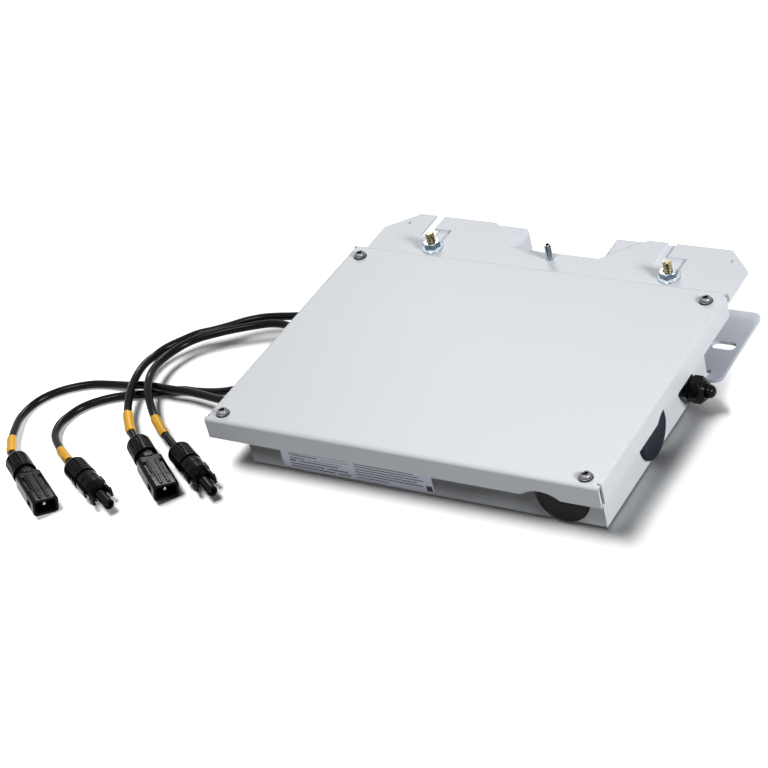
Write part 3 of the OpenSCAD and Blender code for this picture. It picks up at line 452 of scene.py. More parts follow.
def carve(body, tool, operation="DIFFERENCE"):
    """Cuts, joins or intersects two shapes with a Boolean modifier."""
    objects = []
    for shape in (body, tool):
        mesh = bpy.data.meshes.new("carving")
        shape.to_mesh(mesh)
        objects.append(placed("carving", mesh))
    step = objects[0].modifiers.new("carve", "BOOLEAN")
    step.operation, step.solver, step.object = operation, "EXACT", objects[1]
    view = bpy.context.evaluated_depsgraph_get()
    result = bmesh.new()
    result.from_mesh(bpy.data.meshes.new_from_object(objects[0].evaluated_get(view)))
    for thing in objects:
        bpy.data.objects.remove(thing)
    assert result.faces, "a carving came out empty"
    return settle(result)

# %% [markdown]
# ## From a shape to a piece
# A finished piece has its object at the origin and its place in its mesh, as a solid from
# the frame has. Smooth shading with sharp edges by angle keeps turned faces round and
# corners crisp. A narrow Bevel modifier catches the light on moulded edges, and weighted
# normals keep the faces beside them level. The piece rides on the only body, root, and the
# solids it stands for are hidden.

# %% Piece helper
SHARP = math.radians(34)


def piece(name, shape, finish, stands_for, places=(Matrix(),), soften=0.0):
    scale = Matrix.Scale(MM, 4)
    whole = gathered(*(moved(shape.copy(), scale @ place) for place in places))
    mesh = bpy.data.meshes.new(name)
    whole.to_mesh(mesh)
    mesh.shade_smooth()
    mesh.set_sharp_from_angle(angle=SHARP)
    mesh.materials.append(finish.material)
    made = placed(name, mesh)
    if soften:
        edge = made.modifiers.new("soft edges", "BEVEL")
        edge.width, edge.segments, edge.limit_method = soften * MM, 2, "ANGLE"
        edge.angle_limit = SHARP
        level = made.modifiers.new("level faces", "WEIGHTED_NORMAL")
        level.keep_sharp = True
    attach(made, "root")
    if stands_for:
        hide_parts(*stands_for)
    print(f"{name}: {len(mesh.polygons)} faces, {len(places)} place(s)")
    return made


def at(x, y, z):
    return Matrix.Translation((x, y, z))


def outwards(degrees):
    """Turns a shape drawn along z so that it points out at this angle, seen from above."""
    return Matrix.Rotation(math.radians(degrees), 4, "Z") @ Matrix.Rotation(math.pi / 2, 4, "Y")

# %% [markdown]
# ## The four leads
# Each lead is a solar cable with a 5.7 mm sheath, stiff enough to make wide bends. It
# leaves its gland level, sinks towards the floor and ends in its connector. Two of the
# leads pass over the other two in long low humps. The points are those of the solids,
# and a smooth curve through them is the lead's centre line. Its length is a real size, so
# it is written down, and the curve is measured against it. A curve object with a round
# bevel fits a cord best, because its length can be read straight from its spline.

# %% Lead routes
LEAD_ROUTES = [
    [
        (-138.5, -80, 16), (-148, -80, 16), (-162, -80, 14.5), (-179, -78, 12), (-195, -75, 10.5),
        (-210, -73, 9.5), (-224, -73, 9), (-236, -73, 9), (-248, -73, 8.5), (-262, -72, 5),
        (-278, -72, 3), (-292, -75, 3), (-304, -81, 3), (-314, -89, 3), (-321, -99, 3),
        (-324, -110, 3), (-322, -124, 4.5), (-316, -137, 6.5), (-309.3, -149, 8),
        (-303.6, -156.8, 8.7), (-297.5, -164.3, 9.27), (-285.3, -172.7, 8.89),
    ],
    [
        (-138.5, -60, 16), (-148, -60, 16), (-164, -61, 13), (-181, -64, 8.5), (-195, -64, 5),
        (-209, -64, 3), (-221, -65, 3), (-232, -69, 3), (-242, -74, 3), (-254, -79, 3),
        (-266, -84, 3), (-276, -91, 3), (-284, -100, 3), (-288, -111, 3), (-288, -123, 4),
        (-281, -137, 5.5), (-265, -151, 7.7), (-257.6, -156.3, 8.4), (-250.3, -160.8, 8.86),
        (-238.8, -167.3, 8.7),
    ],
    [
        (-138.5, 20, 16), (-148, 20, 16), (-163, 20, 15.5), (-177, 18, 14.5), (-188, 16, 14),
        (-199, 13, 13.5), (-210, 7, 13), (-219, 0, 12.5), (-229, -7, 12), (-239, -13, 11.5),
        (-247, -22, 11), (-254, -33, 11), (-257, -44, 11), (-257, -56, 12.5), (-254, -70, 13.5),
        (-249.5, -85, 12.3), (-244.3, -96, 10.8), (-238.8, -105.4, 9.7), (-231.6, -114.4, 9.5),
        (-224, -122.8, 9.39), (-208.4, -134.9, 8.89),
    ],
    [
        (-138.5, 0, 16), (-148, 0, 16), (-163, 3.5, 16), (-177, 6.5, 15.5), (-188, 6, 14.8),
        (-199, 2.3, 14), (-209, -2.5, 13.5), (-217.7, -7, 13), (-226, -12.5, 12.7),
        (-234, -18.5, 12.4), (-240.8, -26.5, 12), (-245.5, -38, 12), (-247, -49, 12.7),
        (-245.5, -60, 14), (-241.5, -71, 15.2), (-236.5, -81, 14.6), (-230, -90, 13),
        (-222.5, -98.5, 11), (-215.5, -105.3, 9.9), (-206.8, -112.5, 9.4), (-198, -119.2, 9.04),
        (-174.3, -134.5, 8.7),
    ],
]
LEAD_LENGTHS = [0.2823, 0.2497, 0.2539, 0.2544]
LEAD_WIDTH = 5.7
SLEEVE_WALL = 0.6
STEPS = 6


def smooth_line(points):
    """A smooth line through the points, with STEPS short pieces between each two."""
    spots = [Vector(p) for p in points]
    spots = [2 * spots[0] - spots[1], *spots, 2 * spots[-1] - spots[-2]]
    line = []
    for a, b, c, d in zip(spots, spots[1:], spots[2:], spots[3:]):
        for k in range(STEPS):
            t = k / STEPS
            line.append(0.5 * (2 * b + (c - a) * t + (2 * a - 5 * b + 4 * c - d) * t ** 2
                               + (3 * b - a - 3 * c + d) * t ** 3))
    return line + [spots[-2]]


lead_lines = [smooth_line(route) for route in LEAD_ROUTES]
drawn = [sum((b - a).length for a, b in zip(line, line[1:])) * MM for line in lead_lines]
print("leads as drawn, in metres:", [round(x, 4) for x in drawn], "wanted:", LEAD_LENGTHS)

# %% Lead curves
leads = []
for number, line in enumerate(lead_lines, 1):
    data = bpy.data.curves.new(f"lead_{number}_sheath", "CURVE")
    data.dimensions, data.bevel_depth, data.bevel_resolution = "3D", LEAD_WIDTH / 2 * MM, 8
    data.use_fill_caps = True
    spline = data.splines.new("POLY")
    spline.points.add(len(line) - 1)
    for point, spot in zip(spline.points, line):
        point.co = (*(spot * MM), 1)
    spline.use_smooth = True
    data.materials.append(lead_sheath.material)
    lead = placed(f"lead_{number}_sheath", data)
    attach(lead, "root")
    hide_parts(f"lead_{number}")
    leads.append(lead)

# %% [markdown]
# ## Yellow sleeves
# A short sleeve marks each lead just before its connector. It is a thin tube on the same
# line, so a ring is drawn along the line's frames: out along the outside, round the end,
# and back along the inside. The ends are drawn in slightly, as shrink tube is.

# %% Sleeves
def along(line, index, radius):
    """The matrix that lays a unit ring round the line at one of its points."""
    ahead, behind = line[min(index + 1, len(line) - 1)], line[max(index - 1, 0)]
    tangent = (ahead - behind).normalized()
    side = tangent.cross(Vector((0, 0, 1))).normalized()
    turned = Matrix((side, tangent.cross(side), tangent)).transposed().to_4x4()
    return Matrix.Translation(line[index]) @ turned @ Matrix.Scale(radius, 4)


def swept(line, stations, sides=28):
    """Draws a ring through stations of (index on the line, radius), closed at the end."""
    shape = bmesh.new()
    first = along(line, *stations[0])
    bmesh.ops.create_circle(shape, cap_ends=False, radius=1, segments=sides, matrix=first)
    edges, last = list(shape.edges), first
    for index, radius in stations[1:] + stations[:1]:
        grown = bmesh.ops.extrude_edge_only(shape, edges=edges)["geom"]
        verts = [g for g in grown if isinstance(g, bmesh.types.BMVert)]
        fresh = set(verts)
        edges = [g for g in grown if isinstance(g, bmesh.types.BMEdge)
                 and all(v in fresh for v in g.verts)]
        now = along(line, index, radius)
        bmesh.ops.transform(shape, matrix=now @ last.inverted(), verts=verts)
        last = now
    return settle(shape)


sleeves = []
for number, (route, line) in enumerate(zip(LEAD_ROUTES, lead_lines), 1):
    start, end = (len(route) - 4) * STEPS, (len(route) - 2) * STEPS
    inside, outside = LEAD_WIDTH / 2 + 0.02, LEAD_WIDTH / 2 + SLEEVE_WALL
    rim = outside - 0.25
    skin = [(k, outside) for k in range(start + 1, end)]
    back = [(k, inside) for k in range(end, start - 1, -1)]
    tube = [(start, rim), *skin, (end, rim), *back]
    sleeves.append(piece(
        f"lead_{number}_sleeve", swept(line, tube), sleeve_yellow, [f"lead_sleeve_{number}"],
    ))

# %% [markdown]
# ## Connector nuts
# The nut at the rear of a connector clamps the lead. Long grooves let fingers grip it, and
# its rear is a full round shoulder. Cutting ten grooves out would leave ragged strips, so
# the turned nut's own points are pushed in where a groove runs. The outline has many
# heights there, so that the grooves' ends come out round.

# %% Connector nut
NUT_LENGTH, NUT_RADIUS, SEAT = 20.0, 8.5, 6.0
BORE = LEAD_WIDTH / 2 + 0.3
SPIGOT = 6.35
GROOVES, GROOVE_HALF, GROOVE_EDGE, GROOVE_DEPTH = 10, 0.95, 0.45, 0.85
GROOVE_START, GROOVE_END, GROOVE_RUN = 3.0, 14.6, 0.9


def eased(value):
    value = min(max(value, 0.0), 1.0)
    return value * value * (3 - 2 * value)


shoulder = arc((NUT_RADIUS - 4, 4), 4, -90, 0, 14)
barrel = [(NUT_RADIUS, 4.4 + 0.36 * k) for k in range(32)]
nut_outline = [
    (BORE, 0.3), (BORE + 0.35, 0), *shoulder, *barrel, (NUT_RADIUS, 16.4),
    (NUT_RADIUS - 0.25, 16.7), (NUT_RADIUS - 0.25, 17.1), (NUT_RADIUS, 17.4),
    (NUT_RADIUS, NUT_LENGTH - 0.5), (NUT_RADIUS - 0.45, NUT_LENGTH), (SPIGOT, NUT_LENGTH),
    (SPIGOT, SEAT), (BORE, SEAT),
]
grip = lathe(nut_outline, 180)
for vert in grip.verts:
    reach = math.hypot(vert.co.x, vert.co.y)
    if reach < SPIGOT + 0.5 or not GROOVE_START - 2 < vert.co.z < GROOVE_END + 1:
        continue
    part = (math.atan2(vert.co.y, vert.co.x) * GROOVES / (2 * math.pi)) % 1 - 0.5
    aside = abs(part) * 2 * math.pi / GROOVES * reach
    share = eased((GROOVE_HALF - aside) / GROOVE_EDGE)
    share *= eased((vert.co.z - GROOVE_START) / GROOVE_RUN)
    share *= eased((GROOVE_END - vert.co.z) / GROOVE_RUN)
    vert.co.xy *= 1 - GROOVE_DEPTH * share / reach
bmesh.ops.recalc_face_normals(grip, faces=grip.faces)
print("connector nut:", len(grip.faces), "faces")

# %% [markdown]
# ## The socket connector
# In front of its nut it has a waisted neck with a raised lug. The housing is a rounded
# rectangle with a collar round the mouth. Two ribs run along its top between two dark
# windows, and a notch in each side takes the mating latch. The loft draws the housing and
# turns back into the mouth in one go, so the wall is real and the mouth can be looked into.

# %% Socket body
SOCKET_LENGTH, HOUSING_START = 63.0, 26.0
WIDE, TALL, CORNER = 17.8, 12.5, 3.0
MOUTH_WIDE, MOUTH_TALL, MOUTH_CORNER, MOUTH_FLOOR = 13.8, 8.5, 1.8, 48.0
COLLAR = 50.2
PIN, PIN_HOLE, PIN_START = 1.5, 1.65, 30

housing = loft([
    (HOUSING_START, WIDE - 2.4, TALL - 1.8, CORNER),
    (HOUSING_START + 0.5, WIDE - 0.9, TALL - 0.7, CORNER),
    (HOUSING_START + 1.2, WIDE, TALL, CORNER),
    (COLLAR, WIDE, TALL, CORNER),
    (COLLAR + 0.25, WIDE - 0.6, TALL - 0.6, CORNER - 0.2),
    (COLLAR + 0.85, WIDE - 0.6, TALL - 0.6, CORNER - 0.2),
    (COLLAR + 1.1, WIDE, TALL, CORNER),
    (SOCKET_LENGTH - 0.6, WIDE, TALL, CORNER),
    (SOCKET_LENGTH - 0.2, WIDE - 0.4, TALL - 0.4, CORNER - 0.2),
    (SOCKET_LENGTH, WIDE - 1.0, TALL - 1.0, CORNER - 0.4),
    (SOCKET_LENGTH, MOUTH_WIDE + 0.8, MOUTH_TALL + 0.8, MOUTH_CORNER + 0.2),
    (SOCKET_LENGTH - 0.4, MOUTH_WIDE, MOUTH_TALL, MOUTH_CORNER),
    (MOUTH_FLOOR, MOUTH_WIDE, MOUTH_TALL, MOUTH_CORNER),
])
neck = lathe([
    (0, SEAT), (6.0, SEAT), (6.2, SEAT + 0.3), (6.2, 20.3), (6.8, 20.4), (6.8, 21.2),
    *arc((6.9, 22.5), 1.1, -120, -240, 6), (6.8, 23.8), (6.8, 26.6), (0, 26.6),
])
ribs = gathered(*(block((2.0, 2.2, 30.0), (s * 2.6, 5.85, 46.0), 0.45) for s in (-1, 1)))
lug = block((6.6, 2.4, 5.6), (0, 5.7, 24.6), 0.7)
socket = carve(carve(carve(housing, neck, "UNION"), ribs, "UNION"), lug, "UNION")
windows = [block((2.6, 4.0, 16.5), (s * 5.7, 6.75, 40.8), 0.5) for s in (-1, 1)]
notches = [block((2.0, 5.0, 7.0), (s * WIDE / 2, 0, 54.5), 0.4) for s in (-1, 1)]
socket = carve(socket, gathered(*windows, *notches))
drill = lathe([(0, 0), (PIN_HOLE, 0), (PIN_HOLE, 19), (0, 19)], 32)
socket = carve(socket, moved(drill, at(0, 0, PIN_START)))
print("socket body:", len(socket.faces), "faces")

pin = lathe([(0, 0), (PIN, 0), (PIN, 28.4), *arc((0.4, 28.7), 1.1, 0, 90, 5), (0, 29.8)], 32)
moved(pin, at(0, 0, PIN_START))

# %% [markdown]
# ## The plug connector
# Its body tapers to a narrow round nose, and a springy latch arm with a hooked end stands
# at each side of the nose. Its contact is a small tube inside the nose's bore.

# %% Plug body
TIP_LENGTH, TIP_SHOULDER = 57.0, 40.0
TIP_BORE = 2.15
ARM_THICK = 5.0

trunk = lathe([
    (0, SEAT), (6.0, SEAT), (6.2, SEAT + 0.3), (6.2, 20.3), (7.1, 20.4), (7.1, 21.2),
    (7.8, 21.8), (8.0, 22.1), (8.0, 27.2), (7.75, 27.6), (7.35, 27.8), (7.35, 28.6),
    (7.75, 28.8), (8.0, 29.1), (8.0, 34.2), (7.8, 34.9), (6.9, 38.6), (6.2, TIP_SHOULDER),
    (4.6, TIP_SHOULDER), (3.95, TIP_SHOULDER + 0.3), (3.75, TIP_SHOULDER + 1),
    (3.75, TIP_LENGTH - 0.7), (3.45, TIP_LENGTH - 0.15), (3.1, TIP_LENGTH),
    (TIP_BORE + 0.3, TIP_LENGTH), (TIP_BORE, TIP_LENGTH - 0.4), (TIP_BORE, 30), (0, 30),
])
ARM = [(38.6, 5.75), (47, 5.75), (47, 7.3), (46.7, 7.6), (43.4, 8.35), (43.2, 8.1),
       (43.2, 7.55), (38.6, 7.55)]
forward_side_up = Matrix(((0, 1, 0), (0, 0, 1), (1, 0, 0))).to_4x4()
upright_arm = at(0, -ARM_THICK / 2, 0) @ forward_side_up
arms = [moved(prism(ARM, ARM_THICK), Matrix.Rotation(a, 4, "Z") @ upright_arm)
        for a in (0, math.pi)]
wedges = [block((2.2, 6.4, 7.0), (s * 7.3, 0, 31.4), 0.6) for s in (-1, 1)]
keys = [block((3.0, 2.2, 9.0), (0, s * 6.9, 31.0), 0.6) for s in (-1, 1)]
tip = carve(carve(trunk, gathered(*arms), "UNION"), gathered(*wedges, *keys), "UNION")
print("plug body:", len(tip.faces), "faces")

tube = lathe([
    (0, 0), (2.0, 0), (2.0, 22.8), (1.8, 23), (1.3, 23), (1.1, 22.7), (1.1, 10), (0, 10),
], 32)
moved(tube, at(0, 0, PIN_START))

# %% [markdown]
# ## Connectors on their leads
# A connector lies in line with the last stretch of its lead, with the lead's end seated
# inside the nut. That stretch gives its heading and its slight tilt, so one matrix per
# lead places the nut, the body and the contact. The two sockets are also rolled a little
# about their own line, as they lie on the table.

# %% Place the connectors
def on_lead(route):
    tip_spot, before = Vector(route[-1]), Vector(route[-2])
    heading = (tip_spot - before).normalized()
    tilt = Matrix.Rotation(-math.asin(heading.z), 4, "Y")
    course = Matrix.Rotation(math.atan2(heading.y, heading.x), 4, "Z")
    side_up_forward = Matrix(((0, 0, 1), (1, 0, 0), (0, 1, 0))).to_4x4()
    return Matrix.Translation(tip_spot - SEAT * heading) @ course @ tilt @ side_up_forward


SOCKET_ROLL = Matrix.Rotation(math.radians(-12), 4, "Z")
for number, (lead, route) in enumerate(zip(leads, LEAD_ROUTES), 1):
    place = [on_lead(route)]
    body, contact = (socket, pin) if number % 2 else (tip, tube)
    rolled = [place[0] @ SOCKET_ROLL] if number % 2 else place
    parts = [
        sleeves[number - 1],
        piece(f"lead_{number}_nut", grip, connector_black, [f"connector_nut_{number}"], place),
        piece(f"lead_{number}_connector", body, connector_black,
              [f"connector_body_{number}"], rolled, 0.12),
        piece(f"lead_{number}_contact", contact, contact_metal,
              [f"connector_contact_{number}"], place),
    ]
    [x * MM for x in route[0]]
    LEAD_LENGTHS[number - 1]

# %% [markdown]
# ## Threads
# A real thread is a helix, and spin can draw one: with a small step along the axis at
# each turn of the spin, one tooth of the outline becomes a screw. The ends are cut off
# flat and filled, and a chamfered cylinder trims the tip.

# %% Threaded rod
def threaded(width, pitch, low, high, sides=28):
    deep = 0.58 * pitch
    crest, root = width / 2, width / 2 - deep
    turns = math.ceil((high - low) / pitch) + 3
    tooth = [(root, 0.0), (root, 0.12), (crest, 0.45), (crest, 0.55), (root, 0.88), (root, 1.0)]
    shape = bmesh.new()
    corners = [shape.verts.new((r, 0, low + (z - 1.5) * pitch)) for r, z in tooth]
    edges = [shape.edges.new(pair) for pair in zip(corners, corners[1:])]
    bmesh.ops.spin(
        shape, geom=corners + edges, cent=(0, 0, 0), axis=(0, 0, 1),
        dvec=(0, 0, pitch / sides), angle=2 * math.pi * turns, steps=sides * turns,
        use_merge=False,
    )
    bmesh.ops.remove_doubles(shape, verts=shape.verts, dist=1e-3)
    for height, up in ((low, -1), (high, 1)):
        bmesh.ops.bisect_plane(
            shape, geom=[*shape.verts, *shape.edges, *shape.faces], dist=1e-5,
            plane_co=(0, 0, height), plane_no=(0, 0, up), clear_outer=True,
        )
    bmesh.ops.holes_fill(shape, edges=[e for e in shape.edges if e.is_boundary])
    settle(shape)
    trim = lathe([
        (0, low - 1), (crest + 1, low - 1), (crest + 1, high - 1.6 * deep),
        (root - 0.1, high + 0.1), (0, high + 0.1),
    ], 48)
    return carve(shape, trim, "INTERSECT")


def turned_hexagon(across_flats, height, bore=0.0, crown=0.09):
    """A hexagon with its corners turned off, and a countersunk bore if it has one."""
    drop = min(crown * across_flats, 0.22 * height)
    face, full = 0.475 * across_flats, 0.62 * across_flats
    blank = lathe([
        (0, 0), (face, 0), (full, drop), (full, height - drop), (face, height), (0, height),
    ], 96)
    shape = carve(hexagon(across_flats, height), blank, "INTERSECT")
    if bore:
        r = bore / 2
        shape = carve(shape, lathe([
            (0, -1), (r + 1.5, -1), (r, 0.5), (r, height - 0.5), (r + 1.5, height + 1),
            (0, height + 1),
        ], 48))
    return shape

# %% [markdown]
# ## Bolts, nuts and screws
# Two bolts stand up from the bracket, and the case hooks onto them. A flange nut clamps
# each. The middle carries a set screw with a hexagon socket, and the lid is held by four
# domed screws with rubber seals. Each kind is modelled once and stamped where it belongs.

# %% Bracket bolts and their nuts
BOLT_SPOTS = [(-97, 92), (85, 92)]
PLATE_TOP, PLATE_LOW, BRACKET_TOP = 34.0, 32.0, 29.5
BOLT_TOP, BOLT_HEAD = 47.0, 4.0

shank = threaded(6.35, 1.27, BRACKET_TOP - 0.5, BOLT_TOP)
head = moved(turned_hexagon(10, BOLT_HEAD), at(0, 0, BRACKET_TOP - BOLT_HEAD))
bolt = carve(shank, head, "UNION")
piece("bracket_bolts", bolt, yellow_zinc, ["rail_bolts"],
      [at(x, y, 0) for x, y in BOLT_SPOTS])

flange = lathe([
    (0, 0), (7.35, 0), (7.55, 0.2), (7.55, 0.75), (7.3, 1.0), (5.7, 1.75), (5.2, 2.1), (0, 2.1),
], 96)
flange_nut = carve(flange, turned_hexagon(11.1, 6.0), "UNION")
drill = lathe([(0, -1), (4.6, -1), (3.3, 0.4), (3.3, 5.5), (4.6, 7), (0, 7)], 48)
flange_nut = carve(flange_nut, drill)
piece("clamp_nuts", flange_nut, bright_zinc, ["flange_nuts"],
      [at(x, y, PLATE_TOP) @ Matrix.Rotation(math.radians(a), 4, "Z")
       for (x, y), a in zip(BOLT_SPOTS, (12, 40))], 0.08)

# %% Set screw and its nut
SET_SPOT, SET_TOP, SET_LENGTH, SET_NUT = (-6, 96), 46.0, 20.0, 4.0
stud = threaded(5.0, 0.8, SET_TOP - SET_LENGTH, SET_TOP)
stud = carve(stud, moved(hexagon(3.0, 5), at(0, 0, SET_TOP - 4)))
piece("set_screw_stud", stud, blued_steel, ["set_screw"], [at(*SET_SPOT, 0)])
piece("set_screw_hexagon", turned_hexagon(8, SET_NUT, 5.3), bright_zinc,
      ["set_screw_nut"], [at(*SET_SPOT, PLATE_LOW - SET_NUT)], 0.06)

# %% Lid screws and their seals
LID_SPOTS = [(x, y) for x in (-137.5, 125.5) for y in (-123.8, 61)]
LID_TOP, SEAL = 42.0, 0.8
head = lathe([
    (0, -8), (1.5, -8), (2.0, -7.5), (2.0, 0), (4.15, 0), (4.4, 0.2), (4.4, 0.6), (4.2, 0.8),
    (3.75, 0.9), *arc((1.6, 0.85), 2.15, 8, 90, 8), (0, 3.0),
])
head = carve(head, moved(hexagon(3.4, 3), at(0, 0, 0.9)))
head = carve(head, lathe([(0, 2.4), (1.6, 2.4), (2.3, 3.2), (0, 3.2)], 48))
piece("lid_screw_heads", head, dark_steel, ["lid_screws"],
      [at(x, y, LID_TOP + SEAL) @ Matrix.Rotation(math.radians(a), 4, "Z")
       for (x, y), a in zip(LID_SPOTS, (10, 35, 50, 20))])
washer = lathe([
    (2.15, 0), (4.6, 0), *arc((4.45, 0.4), 0.3, -70, 70, 5), (4.45, SEAL), (2.15, SEAL),
])
piece("lid_screw_rings", washer, gasket_rubber, ["lid_screw_seals"],
      [at(x, y, LID_TOP) for x, y in LID_SPOTS])

# %% [markdown]
# ## Rivets
# Four blind rivets hold the hook plate's flange to the back wall. A blind rivet has a
# domed head with a small pit, where its mandrel snapped off.

# %% Rivets
RIVET_SPOTS, RIVET_UP = [-86, -26, 14, 74], 20
WALL_LEFT, WALL_RIGHT, WALL_FRONT, WALL_BACK = -126.5, 131.5, -120.5, 35.5
rivet = lathe([
    (0, -2.7), (3.6, -2.7), (4.0, -2.3), (4.0, -1.2), (2.0, -1.2), (2.0, 2.0), (3.9, 2.0),
    (4.0, 2.15), (3.7, 2.6), (3.0, 3.05), (2.2, 3.35), (1.3, 3.5), (1.1, 3.3), (1.0, 2.9),
    (0, 2.85),
], 48)
piece("plate_rivets", rivet, bright_zinc, ["hook_plate_rivets"],
      [at(x, WALL_BACK, RIVET_UP) @ outwards(90) for x in RIVET_SPOTS])

# %% [markdown]
# ## Blanking plugs
# A large plug closes each unused cable entry. Its cap has a rounded rim and a slightly
# sunken middle, so light draws a thin ring on it. The lid's lip has a notch over each.

# %% Plugs
cap = lathe([
    (0, 0), (11.5, 0), (11.5, -7.2), (13.7, -7.2), (14, -6.9), (14, 0), (17.8, 0), (18, 0.25),
    (18, 1.0), *arc((16.5, 1.0), 1.5, 0, 90, 8), (15.6, 2.5), (15.2, 2.15), (0, 2.15),
], 128)
# The side plug's lighter copy of the plugs' black is painted light.
for name, node, finish, place in (
    ("front_blank", "front_plug", plug_black, at(104.5, WALL_FRONT, 20) @ outwards(-90)),
    ("side_blank", "side_plug", plug_painted_light, at(WALL_RIGHT, -49, 20) @ outwards(0)),
):
    piece(name, cap, finish, [node], [place])

# %% [markdown]
# ## Cable glands
# A gland has a hexagon against the wall and a domed nut with its own hexagon, a collar
# and a tapered mouth. One function makes both sizes. The right one is blanked by a pin
# with a round end, and the four on the left grip the leads in a rubber insert.

# %% Glands
def gland_nut(across_flats, length, hexagon_length, mouth, thread_reach, thread, bore):
    reach, end = across_flats / 2, hexagon_length
    collar = lathe([
        (0, end - 1), (reach - 0.2, end - 1), (reach - 0.2, end + 0.5),
        (reach - 0.5, end + 0.8), (reach - 0.9, end + 0.9),
        (mouth + 0.5, length - 1.6), (mouth + 0.1, length - 0.9), (mouth - 0.15, length - 0.3),
        (mouth - 0.5, length), (0, length),
    ], 96)
    shape = carve(collar, turned_hexagon(across_flats, hexagon_length), "UNION")
    hollow = lathe([
        (0, -1), (thread, -1), (thread, thread_reach), (bore, thread_reach + 0.6),
        (bore, length - 0.4), (bore + 1.4, length + 1), (0, length + 1),
    ], 64)
    return carve(shape, hollow)


def gland_body(across_flats, low, hexagon_length, thread, tail, reach, bore):
    shape = carve(
        moved(turned_hexagon(across_flats, hexagon_length), at(0, 0, low)),
        lathe([(0, -tail), (thread - 0.4, -tail), (thread, 0.4 - tail), (thread, reach - 0.4),
               (thread - 0.4, reach), (0, reach)], 64), "UNION")
    hole = lathe([(0, -tail - 1), (bore, -tail - 1), (bore, reach + 1), (0, reach + 1)], 48)
    return carve(shape, hole)


SIDE_TURN = Matrix.Rotation(math.radians(30), 4, "Z")
SIDE_GLAND = at(WALL_RIGHT, 1.5, 17.5) @ outwards(0) @ SIDE_TURN
PIN_RADIUS, PIN_END = 4.5, 22.5
ring = lathe([(6.4, 0), (7.7, 0), (8, 0.3), (8, 0.7), (7.7, 1), (6.4, 1)])
piece("side_gland_ring", ring, gasket_rubber, ["side_gland_seal"], [SIDE_GLAND])
side_base = gland_body(
    across_flats=16, low=1, hexagon_length=5, thread=6.25, tail=8, reach=12, bore=4.65)
side_dome = gland_nut(
    across_flats=16, length=10.2, hexagon_length=7.6, mouth=6.4, thread_reach=6, thread=6.4,
    bore=4.65)
piece("side_gland_base", side_base, gland_black, ["side_gland_body"], [SIDE_GLAND], 0.25)
piece("side_gland_dome", moved(side_dome, at(0, 0, 6.3)), gland_black, ["side_gland_nut"],
      [SIDE_GLAND], 0.25)
blank = lathe([(0, 6), (PIN_RADIUS, 6), (PIN_RADIUS, 17.6),
               *arc((0, PIN_END - PIN_RADIUS), PIN_RADIUS, 0, 90, 14)[:-1], (0, PIN_END)])
piece("side_gland_blank", blank, gland_black, ["side_gland_pin"], [SIDE_GLAND])

LEAD_GLANDS = [at(WALL_LEFT, *route[0][1:]) @ outwards(180) for route in LEAD_ROUTES]
lead_base = gland_body(
    across_flats=15, low=0, hexagon_length=4.5, thread=5.75, tail=8, reach=12, bore=BORE)
lead_dome = moved(gland_nut(
    across_flats=15, length=12.2, hexagon_length=6.5, mouth=4.85, thread_reach=7.5,
    thread=5.9, bore=BORE + 0.9), at(0, 0, 4.8))
insert = lathe([(LEAD_WIDTH / 2 + 0.02, 12.6), (BORE + 0.85, 12.6), (BORE + 0.85, 16.6),
                (BORE + 0.3, 16.95), (LEAD_WIDTH / 2 + 0.1, 16.95)], 48)
for number, place in enumerate(LEAD_GLANDS, 1):
    piece(f"lead_{number}_gland_base", lead_base, gland_black,
          [f"lead_gland_body_{number}"], [place], 0.1)
    piece(f"lead_{number}_gland_dome", lead_dome, gland_black,
          [f"lead_gland_nut_{number}"], [place], 0.1)
piece("lead_gland_inserts", insert, gasket_rubber, [], LEAD_GLANDS)

# %% [markdown]
# ## The plate on the front wall
# A thin silver foil is stuck to the front wall below the lid's lip. It is kept as a plain
# form: a pale field with a bare strip at its left, rows of bars and thin lines, and a small
# dark square. Each is a rectangle in millimetres on the plate, so one helper makes them
# all, and a product of four comparisons is a rectangle's mask.

# %% Plain front plate
PLATE_LEFT, PLATE_RIGHT, PLATE_FOOT, PLATE_HEAD = -102.0, 11.5, 3.0, 17.9
FOIL = 0.15
width, height = PLATE_RIGHT - PLATE_LEFT, PLATE_HEAD - PLATE_FOOT
foil_paper = surface("foil_paper", 0.36, 20, 1.0, 0.08, 0.006, metallic=0.45)
foil_paper.slot = None
across, upward = foil_paper.axis(0), foil_paper.axis(2)


def bar(left, foot, long, tall):
    """1 inside a rectangle measured from the plate's lower left corner."""
    x, z = (PLATE_LEFT + left) * MM, (PLATE_FOOT + foot) * MM
    inside = (across > x) * (across < x + long * MM)
    return inside * (upward > z) * (upward < z + tall * MM)


# Each bar's left end, foot, length and height.
BARS = [
    (6, 12.6, 9, 0.9), (6, 10.6, 22, 0.9), (6, 8.2, 12, 0.9), (20, 8.3, 26, 0.45),
    (6, 6.0, 5, 1.3), (13, 6.1, 30, 0.9), (6, 3.6, 26, 0.9), (34, 3.7, 16, 0.9),
    (6, 1.4, 34, 0.8), (42, 1.4, 10, 0.8), (17, 12.8, 34, 0.35), (30, 10.8, 22, 0.35),
    (56, 12.4, 44, 0.8), (56, 10.3, 48, 0.8), (56, 8.2, 51, 0.8), (56, 6.1, 46, 0.8),
    (56, 4.0, 50, 0.8), (56, 1.9, 24, 0.6), (108.2, 1.0, 4.4, 4.4),
]
marks = sum(bar(*b) for b in BARS)
wear = foil_paper.noise(1.1, 3.0, (1.6, 1, 0.7)) * 0.5 + 0.75
field = foil_paper.blend(tint(184, 186, 199), tint(196, 198, 211), foil_paper.noise(20))
inked = marks.math("MINIMUM", marks, 1.0) * wear
foil_paper.set(Base_Color=foil_paper.blend(field, tint(36, 37, 44), inked))
print("plate:", len(BARS), "bars on", width, "x", round(height, 1), "mm")

